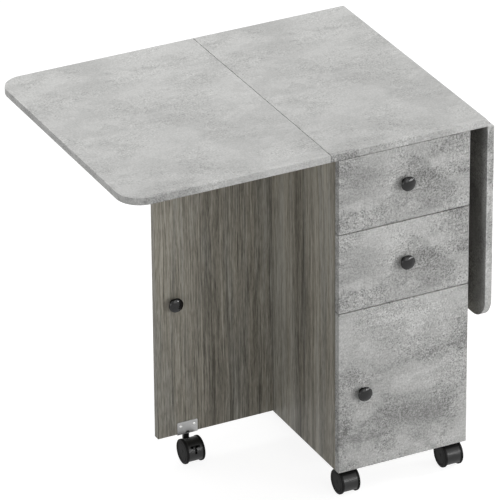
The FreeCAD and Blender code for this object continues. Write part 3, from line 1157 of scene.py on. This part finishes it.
@dataclass
class Boards:
    """The tops, fronts and cabinet boards: which print each one is cut from, and where light and shade are
    painted on them.
    """

    drift: float = 1.37
    drift_ratio: float = 3.0
    # painted sheen: the tops carry the fronts' print, drawn weaker to stand in for the sheen that washes it
    # out
    top_sheen_contrast: float = 0.9
    plain_bands: float = 0.2
    strong_bands: float = 0.75
    deep: float = 1.0
    leaf_stains: tuple[PrintAndLightPatch, ...] = (PrintAndLightPatch((0.11, 0, 0.008), (0.06, 0.008, 0.02), -0.07),)
    top_stains: tuple[PrintAndLightPatch, ...] = (PrintAndLightPatch((0.02, 0, 0.008), (0.04, 0.008, 0.02), -0.05),)
    # darker along the hanging leaf's front edge, about a third of a metre above its lower end
    hanging_edge_darkening: tuple[PrintAndLightPatch, ...] = (PrintAndLightPatch((-0.33, 0, 0.008), (0.16, 0.004, 0.006), -0.08),)
    drawer_stains: tuple[PrintAndLightPatch, ...] = (
        PrintAndLightPatch((0.108, 0, 0.105), (0.03, deep, 0.06), 0.03),
        PrintAndLightPatch((0.215, 0, 0.14), (0.035, deep, 0.025), 0.03),
        PrintAndLightPatch((0.24, 0, 0.085), (0.06, deep, 0.014), -0.03),
        PrintAndLightPatch((0.05, 0, 0.015), (0.06, deep, 0.03), -0.02),
    )
    upper_print_and_shade: tuple[PrintAndLightPatch, ...] = (
        # painted shade: a smooth darker strip along the top of the upper drawer's front, under the edge of
        # the top
        PrintAndLightPatch((0.11, 0, 0.158), (0.17, deep, 0.055), -0.08, roughness=0.0, ragged=0.8),
        PrintAndLightPatch((0.275, 0, 0.13), (0.03, deep, 0.04), 0.07),
    )
    door_stains: tuple[PrintAndLightPatch, ...] = (
        PrintAndLightPatch((0.13, 0, 0.29), (0.14, deep, 0.06), 0.11),
        PrintAndLightPatch((0.18, 0, 0.165), (0.10, deep, 0.035), 0.09),
        PrintAndLightPatch((0.21, 0, 0.21), (0.06, deep, 0.022), -0.05),
        PrintAndLightPatch((0.275, 0, 0.24), (0.025, deep, 0.045), -0.06),
        PrintAndLightPatch((0.012, 0, 0.125), (0.025, deep, 0.035), -0.06),
        PrintAndLightPatch((0.16, 0, 0.07), (0.13, deep, 0.055), -0.09, roughness=0.2),
    )
    gate_print_light_and_shade: tuple[PrintAndLightPatch, ...] = (
        # painted light and print: paler over the gate's upper left, by its free edge
        PrintAndLightPatch((0.03, 0, 0.55), (0.075, deep, 0.3), 0.07),
        PrintAndLightPatch((0.112, 0, 0.3), (0.014, deep, 0.8), -0.06),
        # painted shade: darker low down, in the corner by the cabinet
        PrintAndLightPatch((0.2, 0, 0.1), (0.1, deep, 0.14), -0.05),
    )
    side_print_and_light: tuple[PrintAndLightPatch, ...] = (
        # painted light: paler over the upper front of the side
        PrintAndLightPatch((0, 0.05, 0.55), (deep, 0.07, 0.25), 0.07),
        PrintAndLightPatch((0, 0.15, 0.3), (deep, 0.02, 0.8), -0.08),
        PrintAndLightPatch((0, 0.234, 0.3), (deep, 0.011, 0.8), -0.06),
    )

    def cuts(self) -> tuple[Cut, ...]:
        """Lists the boards that are cut from the concrete print.

        Returns:
            One cut per board.
        """
        plain = self.top_sheen_contrast
        return (
            Cut("left_leaf", (0, 0, 0), plain, edge_contrast=1.2, painted_edge_light=0.06, print_and_light_patches=self.leaf_stains),
            Cut("fixed_top", (0.024, 0, 0), plain, edge_contrast=1.8, painted_edge_light=0.04, print_and_light_patches=self.top_stains),
            Cut(
                "right_leaf",
                (0.9, 0, 0),
                plain,
                edge_contrast=1.8,
                painted_edge_light=0.09,
                # painted shade on the hanging leaf's inner face, in the narrow slot beside the cabinet
                painted_under_shade=-0.12,
                turn=(0, -math.pi / 2, 0),
                print_and_light_patches=self.hanging_edge_darkening,
            ),
            Cut("upper_drawer_front", (1.4, 0.2, 0.1), print_and_light_patches=self.drawer_stains + self.upper_print_and_shade),
            Cut("lower_drawer_front", (1.4, 0.2, 0.1), print_and_light_patches=self.drawer_stains),
            Cut("door", (2.3, 0.4, 0.3), print_and_light_patches=self.door_stains),
        )

    def dress(self) -> None:
        """Gives each board a finish of its own place on the print."""
        for cut in self.cuts():
            self._cover(cut.node, cut.finish())
        wooden = [s["node"] for s in frame["record"]["subparts"] if s["material_slot"] == Slot.WOOD.value]
        for count, node in enumerate(wooden):
            shift = (self.drift * count, self.drift * count / self.drift_ratio, 0)
            bands = self.strong_bands if node.endswith("side") else self.plain_bands
            corner = tuple(-node_box(node).low)
            print_and_light_patches = {"left_gate": self.gate_print_light_and_shade, "left_front_side": self.side_print_and_light}.get(node, ())
            self._cover(node, WoodLaminate("wood_" + node, shift, bands, corner, print_and_light_patches))

    @staticmethod
    def _cover(node: str, finish: ConcreteLaminate | WoodLaminate) -> None:
        """Puts a finish on a CAD node.

        Args:
            node: the node's name.
            finish: its finish.
        """
        data = frame["nodes"][node].data
        data.materials.clear()
        data.materials.append(finish.material())
        LOG.info("%s is dressed in %s", node, finish.name)


@dataclass
class TurnedKnob:
    """A turned mushroom knob: a foot, a drawn-in neck, and a head with a domed face."""

    reach: float = 19.5 * MM
    foot_radius: float = 8.2 * MM
    foot: float = 1.5 * MM
    neck_radius: float = 6.0 * MM
    flare_radius: float = 8.0 * MM
    flare_drop: float = 1.5 * MM
    head_radius: float = 15.3 * MM
    lip: float = 0.8 * MM
    rim: float = 0.5 * MM
    shoulder: float = 4.0 * MM
    dome_radius: float = 29.0 * MM
    sides: int = 72
    neck_steps: int = 10
    lip_steps: int = 5
    shoulder_steps: int = 10
    dome_steps: int = 14

    @property
    def tilt(self) -> float:
        """How far the dome's edge leans from the knob's axis, in radians."""
        return math.asin((self.head_radius - self.shoulder) / (self.dome_radius - self.shoulder))

    @property
    def rim_level(self) -> float:
        """The height at which the rim ends and the shoulder begins."""
        return self.reach - self.dome_radius + (self.dome_radius - self.shoulder) * math.cos(self.tilt)

    @property
    def under_level(self) -> float:
        """The height of the head's lower edge."""
        return self.rim_level - self.rim - self.lip

    def model(self) -> bpy.types.Object:
        """Models the knob, which stands on the origin along +Z.

        Returns:
            The pattern for the knobs' copies.
        """
        knob = Bench.disc("knob_pattern", self.foot_radius, self.foot, self.sides)
        with Bench.editing(knob, "FACE"):
            Bench.pick(knob, at_top(self.foot))
            radius, height = self.foot_radius, self.foot
            for next_radius, next_height in self._rings():
                rise = (0, 0, next_height - height)
                bpy.ops.mesh.extrude_region_move(TRANSFORM_OT_translate={"value": rise})
                share = next_radius / radius
                bpy.ops.transform.resize(value=(share, share, 1), center_override=(0, 0, 0))
                radius, height = next_radius, next_height
            bpy.ops.mesh.merge(type="CENTER")
            bpy.ops.mesh.select_all(action="SELECT")
            bpy.ops.mesh.normals_make_consistent(inside=False)
        Bench.smooth(knob)
        return knob

    def _rings(self) -> Iterator[Pair]:
        """Follows the knob's profile from the foot to the dome's top.

        Returns:
            The radius and height of each ring. The neck's are on a parabola from the foot to the flare.
        """
        flare_level = self.under_level - self.flare_drop
        for step in range(1, self.neck_steps + 1):
            t = step / self.neck_steps
            ends = self.foot_radius * (1 - t) * (1 - 2 * t) + self.flare_radius * t * (2 * t - 1)
            yield ends + 4 * self.neck_radius * t * (1 - t), self.foot + (flare_level - self.foot) * t
        lip_middle = (self.head_radius - self.lip, self.rim_level - self.rim)
        yield from self._arc(lip_middle, self.lip, -math.pi / 2, 0, self.lip_steps)
        shoulder_middle = (self.head_radius - self.shoulder, self.rim_level)
        edge = math.pi / 2 - self.tilt
        yield from self._arc(shoulder_middle, self.shoulder, 0, edge, self.shoulder_steps)
        top = (0, self.reach - self.dome_radius)
        rings = list(self._arc(top, self.dome_radius, edge, math.pi / 2, self.dome_steps))
        yield from rings[1:-1]

    @staticmethod
    def _arc(middle: Pair, radius: float, start: float, end: float, steps: int) -> Iterator[Pair]:
        """Follows an arc in the knob's profile.

        Args:
            middle: the arc's centre.
            radius: its radius.
            start: the angle at which it starts.
            end: the angle at which it ends.
            steps: how many steps it has.

        Returns:
            The points at the steps' ends.
        """
        for step in range(steps + 1):
            angle = start + (end - start) * step / steps
            yield middle[0] + radius * math.cos(angle), middle[1] + radius * math.sin(angle)


@dataclass
class Knobs:
    """The turned knobs, each with a finish that knows where its head begins."""

    shape: TurnedKnob = field(default_factory=TurnedKnob)
    carriers: tuple[tuple[str, str], ...] = (
        ("upper_drawer", "upper_drawer"),
        ("lower_drawer", "lower_drawer"),
        ("door", "door"),
        ("left_gate", "left_gate"),
        ("right_gate", "cabinet"),
    )

    def build(self) -> None:
        """Models the knob once and sets a copy in the place of each knob of the frame."""
        pattern = self.shape.model()
        for name, body in self.carriers:
            axis = RIGHT if name.startswith(Side.RIGHT.value) else FRONT
            box = node_box(name + "_knob")
            tip = max(axis.dot(box.low), axis.dot(box.high))
            foot = box.middle + axis * (tip - self.shape.reach - axis.dot(box.middle))
            piece = stamped(pattern, name + "_turned_knob", [facing(foot, axis)])
            level = tip - self.shape.reach + self.shape.under_level
            finish = LacqueredKnob("lacquered_" + name, tuple(axis), level)
            fitted(piece, body, Slot.KNOB, finish.material())
            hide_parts(name + "_knob")
        bpy.data.objects.remove(pattern)


@dataclass
class SharedFinishes:
    """The finishes that many pieces share, one material each."""

    hood: MouldedPlastic = MouldedPlastic(
        "caster_hood_nylon", (0.004,) * 3, (0.009,) * 3, (0.28, 0.4), specular=0.42
    )
    wheel: MouldedPlastic = MouldedPlastic(
        "caster_wheel_nylon", (0.006,) * 3, (0.012,) * 3, (0.5, 0.65), specular=0.1
    )
    glide: MouldedPlastic = MouldedPlastic("glide_nylon", (0.03,) * 3, (0.05,) * 3, (0.45, 0.6))
    steel: PlatedSteel = PlatedSteel("zinc_plated_steel", (0.46, 0.46, 0.455), (0.34, 0.34, 0.34))
    screw: PlatedSteel = PlatedSteel("bright_screw_steel", (0.86, 0.86, 0.85), (0.7, 0.7, 0.69))
    melamine: Melamine = Melamine("drawer_melamine", (0.52, 0.51, 0.49), (0.42, 0.41, 0.39))
    made: dict[Slot, bpy.types.Material] = field(default_factory=dict)

    def dress(self) -> None:
        """Builds the materials and puts them on the CAD nodes that name their slots."""
        self.made = {
            Slot.HOOD: self.hood.material(),
            Slot.WHEEL: self.wheel.material(),
            Slot.GLIDE: self.glide.material(),
            Slot.STEEL: self.steel.material(),
            Slot.MELAMINE: self.melamine.material(),
        }
        for part in frame["record"]["subparts"]:
            slot = Slot(part["material_slot"])
            if slot in self.made:
                data = frame["nodes"][part["node"]].data
                data.materials.clear()
                data.materials.append(self.made[slot])
        LOG.info("%d shared finishes are on the hardware", len(self.made))


@dataclass
class CrossScrew:
    """The head of a screw, with a cross recess."""

    name: str
    head_radius: float
    head_height: float
    recess_width: float = 0.9 * MM
    recess_share: float = 0.62
    recess_depth: float = 0.7
    crown_share: float = 0.6
    sides: int = 20
    crown_steps: int = 3

    def model(self) -> bpy.types.Object:
        """Models the head, which stands on the origin along +Z.

        Returns:
            The pattern for the screws' copies.
        """
        head = Bench.disc(self.name, self.head_radius, self.head_height, self.sides)
        with Bench.editing(head, "EDGE"):
            Bench.pick(head, at_top(self.head_height), edges=True)
            crown = self.head_height * self.crown_share
            bpy.ops.mesh.bevel(offset=crown, segments=self.crown_steps, affect="EDGES")
        reach = 2 * self.head_radius * self.recess_share
        depth = 2 * self.head_height * self.recess_depth
        for long_x in (True, False):
            size = (reach, self.recess_width, depth) if long_x else (self.recess_width, reach, depth)
            Bench.subtract(head, Bench.block("recess", size, (0, 0, self.head_height)))
        Bench.smooth(head)
        return head


@dataclass
class Hardware:
    """The screws on the brackets, hinges, caster plates and knobs."""

    finish: bpy.types.Material
    pan_radius: float = 3.1 * MM
    pan_height: float = 1.5 * MM
    flush_radius: float = 2.6 * MM
    flush_height: float = 0.22 * MM
    flush_recess: float = 0.7 * MM
    caster_plate: float = 1.5 * MM
    knuckle_radius: float = 2.75 * MM
    bracket_screw_spread: float = 14.65 * MM
    bracket_screw_drop: float = 9.0 * MM
    caster_screw_inset: float = 6.5 * MM
    hinge_screw_share: float = 0.3

    def build(self) -> None:
        """Models each kind of screw once and sets the copies in their places."""
        pan = CrossScrew("pan_screw", self.pan_radius, self.pan_height).model()
        flush = CrossScrew("flush_screw", self.flush_radius, self.flush_height, self.flush_recess).model()
        self._brackets(pan)
        self._caster_plates(pan)
        self._knobs(pan)
        self._leaf_hinges(flush)
        self._gate_hinges(flush)
        self._door_hinges(flush)
        for pattern in (pan, flush):
            bpy.data.objects.remove(pattern)

    def _set(self, pattern: bpy.types.Object, name: str, places: Sequence[Matrix], body: str) -> None:
        """Copies a screw to its places on one body."""
        fitted(stamped(pattern, name, places), body, Slot.STEEL, self.finish)

    def _brackets(self, pan: bpy.types.Object) -> None:
        """Sets two screws on the outer plate of each gate's caster bracket.

        Args:
            pan: the screw to copy.
        """
        for side, normal, body in ((Side.LEFT, FRONT, "left_gate"), (Side.RIGHT, RIGHT, "cabinet")):
            solids = solids_of(side.value + "_gate_caster_bracket")
            box = max(solids, key=lambda b: b.size.z * b.size.x * b.size.y)
            along = normal.cross(UP)
            face = box.middle + normal * (abs(normal.dot(box.size)) / 2)
            face.z = box.high.z - self.bracket_screw_drop
            places = [facing(face + along * (s * self.bracket_screw_spread), normal) for s in (-1, 1)]
            self._set(pan, side.value + "_gate_bracket_screws", places, body)

    def _caster_plates(self, pan: bpy.types.Object) -> None:
        """Sets four screws up through each caster plate.

        Args:
            pan: the screw to copy.
        """
        places = []
        for box in solids_of("cabinet_caster_plates"):
            reach = box.size.x / 2 - self.caster_screw_inset
            level = box.high.z - self.caster_plate
            for sx in (-1, 1):
                for sy in (-1, 1):
                    spot = Vector((box.middle.x + sx * reach, box.middle.y + sy * reach, level))
                    places.append(facing(spot, DOWN))
        self._set(pan, "cabinet_caster_screws", places, "cabinet")

    def _knobs(self, pan: bpy.types.Object) -> None:
        """Sets the screw behind each knob, on the back of its board.

        Args:
            pan: the screw to copy.
        """
        for name, board, body in (
            ("upper_drawer", "upper_drawer_front", "upper_drawer"),
            ("lower_drawer", "lower_drawer_front", "lower_drawer"),
            ("door", "door", "door"),
            ("left_gate", "left_gate", "left_gate"),
        ):
            spot = node_box(name + "_knob").middle.copy()
            spot.y = node_box(board).high.y
            self._set(pan, name + "_knob_screw", [facing(spot, BACK)], body)
        spot = node_box("right_gate_knob").middle.copy()
        spot.x = node_box("right_gate").low.x
        self._set(pan, "right_gate_knob_screw", [facing(spot, LEFT)], "cabinet")

    def _leaf_hinges(self, flush: bpy.types.Object) -> None:
        """Sets two screws on each plate of the leaf hinges.

        Args:
            flush: the screw to copy.
        """
        for side, out in ((Side.LEFT, LEFT), (Side.RIGHT, RIGHT)):
            name = side.value + "_leaf_hinge_"
            self._plates(flush, name + "top_plates", "cabinet", -out, DOWN)
            if side is Side.LEFT:
                self._plates(flush, name + "leaf_plates", "left_leaf", out, DOWN)
            else:
                self._plates(flush, name + "leaf_plates", "right_leaf", DOWN, LEFT)

    def _gate_hinges(self, flush: bpy.types.Object) -> None:
        """Sets two screws on each plate of the gate hinges.

        Args:
            flush: the screw to copy.
        """
        self._plates(flush, "left_gate_hinge_cabinet_plates", "cabinet", BACK, LEFT)
        self._plates(flush, "right_gate_hinge_cabinet_plates", "cabinet", BACK, RIGHT)
        self._plates(flush, "left_gate_hinge_gate_plates", "left_gate", LEFT, BACK)
        self._plates(flush, "right_gate_hinge_gate_plates", "cabinet", BACK, LEFT)

    def _door_hinges(self, flush: bpy.types.Object) -> None:
        """Sets two screws on each plate of the door hinges."""
        self._plates(flush, "door_hinge_cabinet_plates", "cabinet", BACK, RIGHT)
        self._plates(flush, "door_hinge_door_plates", "door", FRONT, RIGHT)

    def _plates(
        self, flush: bpy.types.Object, node: str, body: str, reach: Vector, normal: Vector
    ) -> None:
        """Sets two screws on each plate of one hinge node.

        Args:
            flush: the screw to copy.
            node: the CAD node with the plates.
            body: the body that the plates move with.
            reach: from the pin towards the plate's free edge.
            normal: out of the plate's open face.
        """
        along = reach.cross(normal)
        radius = self.knuckle_radius
        places = []
        for box in solids_of(node):
            length = abs(along.dot(box.size))
            width = abs(reach.dot(box.size)) - radius
            pin = box.middle - reach * (abs(reach.dot(box.size)) / 2 - radius)
            pin -= normal * normal.dot(pin - box.middle)
            face = self._open_face(node, box, normal)
            row = pin + reach * (radius + width / 2)
            for s in (-1, 1):
                spot = row + along * (s * length * self.hinge_screw_share)
                spot += normal * (face - normal.dot(spot))
                places.append(facing(spot, normal))
        self._set(flush, node.replace("plates", "screws"), places, body)

    @staticmethod
    def _open_face(node: str, box: Box, normal: Vector) -> float:
        """Finds a plate's open face, the largest flat face that points along a normal.

        Args:
            node: the CAD node with the plate.
            box: the plate's box.
            normal: the way that the face points.

        Returns:
            How far along the normal the face lies.
        """
        best, level = 0.0, 0.0
        data = frame["nodes"][node].data
        for face in data.polygons:
            inside = all(box.low[i] - TOUCH <= face.center[i] <= box.high[i] + TOUCH for i in range(3))
            if inside and face.normal.dot(normal) > FLAT and face.area > best:
                best, level = face.area, face.center.dot(normal)
        return level


@dataclass
class CasterTrim:
    """The cover discs in the casters' wheels and the stem sockets in the gates' brackets."""

    wheel_finish: bpy.types.Material
    socket_finish: bpy.types.Material
    names: tuple[str, ...] = (
        "front_left",
        "front_right",
        "rear_left",
        "rear_right",
        "left_gate",
        "right_gate",
    )
    cover_radius: float = 19.4 * MM
    cover_height: float = 0.9 * MM
    dish: float = 1.2 * MM
    lip: float = 2.0 * MM
    lip_drop: float = 0.35 * MM
    hub_radius: float = 4.2 * MM
    socket_radius: float = 4.8 * MM
    socket_height: float = 1.3 * MM
    socket_bevel: float = 0.3 * MM
    socket_cut: float = 0.05 * MM
    rim_share: float = 0.99
    sides: int = 64
    socket_sides: int = 40
    rim_steps: int = 3
    socket_steps: int = 2

    def build(self) -> None:
        """Sets two cover discs on each caster and a socket in each bracket."""
        cover = self._cover()
        for name in self.names:
            box = node_box(name + "_caster_wheels")
            places = []
            for normal, level in ((LEFT, box.low.x + self.dish), (RIGHT, box.high.x - self.dish)):
                places.append(facing(Vector((level, box.middle.y, box.middle.z)), normal))
            discs = stamped(cover, name + "_wheel_covers", places)
            fitted(discs, name + "_wheels", Slot.WHEEL, self.wheel_finish)
        bpy.data.objects.remove(cover)
        self._sockets()

    def _cover(self) -> bpy.types.Object:
        """Models a disc with a raised lip, a soft outer edge and a small round hub.

        Returns:
            The pattern for the discs' copies.
        """
        disc = Bench.disc("wheel_cover", self.cover_radius, self.cover_height, self.sides)
        top = at_top(self.cover_height)
        with Bench.editing(disc, "FACE"):
            Bench.pick(disc, top)
            bpy.ops.mesh.inset(thickness=self.lip)
            bpy.ops.mesh.inset(thickness=self.lip_drop, depth=-self.lip_drop)
            bpy.ops.mesh.inset(thickness=self.cover_radius - self.lip - self.lip_drop - self.hub_radius)
            bpy.ops.mesh.inset(thickness=self.lip_drop, depth=self.lip_drop)
        with Bench.editing(disc, "EDGE"):
            rim = self.cover_radius * self.rim_share
            Bench.pick(disc, lambda p: top(p) and p.xy.length > rim, edges=True)
            bpy.ops.mesh.bevel(offset=self.lip_drop, segments=self.rim_steps, affect="EDGES")
        Bench.smooth(disc)
        return disc

    def _sockets(self) -> None:
        """Sets the dark half-round end of the stem's socket in the notch of each bracket."""
        pattern = Bench.disc("socket", self.socket_radius, self.socket_height, self.socket_sides)
        with Bench.editing(pattern, "EDGE"):
            Bench.pick(pattern, at_top(self.socket_height), edges=True)
            bpy.ops.mesh.bevel(offset=self.socket_bevel, segments=self.socket_steps, affect="EDGES")
            bpy.ops.mesh.select_all(action="SELECT")
            cut = (0, self.socket_cut, 0)
            bpy.ops.mesh.bisect(plane_co=cut, plane_no=(0, -1, 0), use_fill=True, clear_outer=True)
        Bench.smooth(pattern)
        for side, normal, body in ((Side.LEFT, FRONT, "left_gate"), (Side.RIGHT, RIGHT, "cabinet")):
            gate, box = node_box(side.value + "_gate"), node_box(side.value + "_gate_caster_bracket")
            face = gate.low if side is Side.LEFT else gate.high
            spot = box.middle - normal * normal.dot(box.middle) + normal * normal.dot(face)
            spot.z = gate.low.z
            piece = stamped(pattern, side.value + "_gate_stem_socket", [self._upright(spot, normal)])
            fitted(piece, body, Slot.HOOD, self.socket_finish)
        bpy.data.objects.remove(pattern)

    @staticmethod
    def _upright(point: Vector, normal: Vector) -> Matrix:
        """A place on an upright face, with the piece's +Y upwards."""
        turn = Matrix((UP.cross(normal), UP, normal)).transposed().to_4x4()
        return Matrix.Translation(point) @ turn


# The studio


@dataclass(frozen=True)
class Lamp:
    """A rectangular softbox that is pointed at a spot."""

    name: str
    place: Triple
    aim: Triple
    sides: Pair
    power: float

    def build(self) -> None:
        """Hangs the lamp in its place."""
        data = bpy.data.lights.new(self.name, "AREA")
        data.shape = "RECTANGLE"
        data.size, data.size_y = self.sides
        data.energy = self.power
        lamp = bpy.data.objects.new(self.name, data)
        lamp.location = self.place
        lamp.rotation_mode = "QUATERNION"
        lamp.rotation_quaternion = (Vector(self.aim) - Vector(self.place)).to_track_quat("-Z", "Y")
        bpy.context.scene.collection.objects.link(lamp)


@dataclass
class Studio:
    """A white floor, soft light from above and in front, and the camera."""

    camera_place: Triple = (-3.79872, -7.65284, 4.851)
    azimuth: float = -26.44
    elevation: float = 27.34
    roll: float = -0.48
    lens: float = 350.24
    sensor: float = 36.0
    far: float = 100.0
    floor_side: float = 60.0
    floor_drop: float = 0.5 * MM
    floor_colour: Colour = (0.40, 0.40, 0.40)
    seen_colour: Colour = (0.30, 0.30, 0.30)
    seen_glow: float = 0.88
    ambient: float = 0.17
    lamps: tuple[Lamp, ...] = (
        Lamp("overhead_softbox", (-0.3, 0.9, 3.2), (0, 0, 0.7), (2.4, 2.4), 73.0),
        Lamp("front_softbox", (0.3, -4.2, 2.1), (0, 0, 0.5), (1.6, 3.0), 31.0),
        Lamp("key_light", (2.5, -3.4, 1.25), (0, 0, 0.5), (2.3, 0.4), 57.0),
        Lamp("left_softbox", (-4.0, -1.7, 0.9), (0, 0, 0.5), (2.0, 1.5), 44.0),
        Lamp("right_light", (3.0, -0.7, 1.2), (0, -0.3, 0.5), (0.7, 1.0), 40.0),
    )

    def build(self) -> None:
        """Builds the camera, floor, lamps and world."""
        bpy.context.scene.view_settings.view_transform = "Standard"
        self._camera()
        self._floor()
        self._world()
        for lamp in self.lamps:
            lamp.build()

    def _camera(self) -> None:
        """A long lens from the front left, above the top."""
        data = bpy.data.cameras.new("camera")
        data.lens = self.lens
        data.sensor_width = self.sensor
        data.clip_end = self.far
        camera = bpy.data.objects.new("camera", data)
        a, e = math.radians(self.azimuth), math.radians(self.elevation)
        back = Vector((math.sin(a) * math.cos(e), -math.cos(a) * math.cos(e), math.sin(e)))
        camera.rotation_mode = "QUATERNION"
        turn = Quaternion((0, 0, 1), math.radians(self.roll))
        camera.rotation_quaternion = (-back).to_track_quat("-Z", "Y") @ turn
        camera.location = self.camera_place
        bpy.context.scene.collection.objects.link(camera)
        bpy.context.scene.camera = camera

    @staticmethod
    def _seen(graph: Graph) -> Socket:
        """Tells rays that see a surface from light that bounces off it.

        Args:
            graph: the surface's graph.

        Returns:
            1 for the camera's rays and for reflected and transmitted ones, and 0 for the others.
        """
        path = graph.node("ShaderNodeLightPath").outputs
        seen = graph.math("MAXIMUM", path["Is Camera Ray"], path["Is Glossy Ray"])
        return graph.math("MAXIMUM", seen, path["Is Transmission Ray"])

    def _floor(self) -> None:
        """A floor that looks white and keeps the shadow under the table."""
        Bench.clear()
        bpy.ops.mesh.primitive_plane_add(size=self.floor_side, location=(0, 0, -self.floor_drop))
        floor = Bench.keep("floor")
        made = bpy.data.materials.new("white_floor")
        made.use_nodes = True
        graph = Graph(made.node_tree)
        bounce = graph.node("ShaderNodeBsdfDiffuse")
        bounce.inputs["Color"].default_value = (*self.floor_colour, 1)
        shade = graph.node("ShaderNodeBsdfDiffuse")
        shade.inputs["Color"].default_value = (*self.seen_colour, 1)
        glow = graph.node("ShaderNodeEmission")
        glow.inputs["Strength"].default_value = self.seen_glow
        white = graph.node("ShaderNodeAddShader")
        graph.feed(white.inputs[0], shade.outputs[0])
        graph.feed(white.inputs[1], glow.outputs[0])
        mix = graph.node("ShaderNodeMixShader")
        graph.feed(mix.inputs[0], self._seen(graph))
        graph.feed(mix.inputs[1], bounce.outputs[0])
        graph.feed(mix.inputs[2], white.outputs[0])
        graph.feed(graph.node("ShaderNodeOutputMaterial").inputs["Surface"], mix.outputs[0])
        floor.data.materials.append(made)

    def _world(self) -> None:
        """An even pale surrounding, white where it is seen."""
        world = bpy.data.worlds.new("studio")
        world.use_nodes = True
        graph = Graph(world.node_tree)
        sky = graph.node("ShaderNodeBackground")
        graph.feed(sky.inputs["Strength"], graph.remap(self._seen(graph), self.ambient, 1.0))
        sky.inputs["Color"].default_value = (1, 1, 1, 1)
        graph.feed(graph.node("ShaderNodeOutputWorld").inputs["Surface"], sky.outputs[0])
        bpy.context.scene.world = world


def main() -> None:
    """Dresses the table and sets up the studio."""
    logging.basicConfig(level=logging.INFO)
    Boards().dress()
    Knobs().build()
    finishes = SharedFinishes()
    finishes.dress()
    Hardware(finishes.screw.material()).build()
    CasterTrim(finishes.made[Slot.WHEEL], finishes.made[Slot.HOOD]).build()
    Studio().build()


if __name__ == "__main__":
    main()
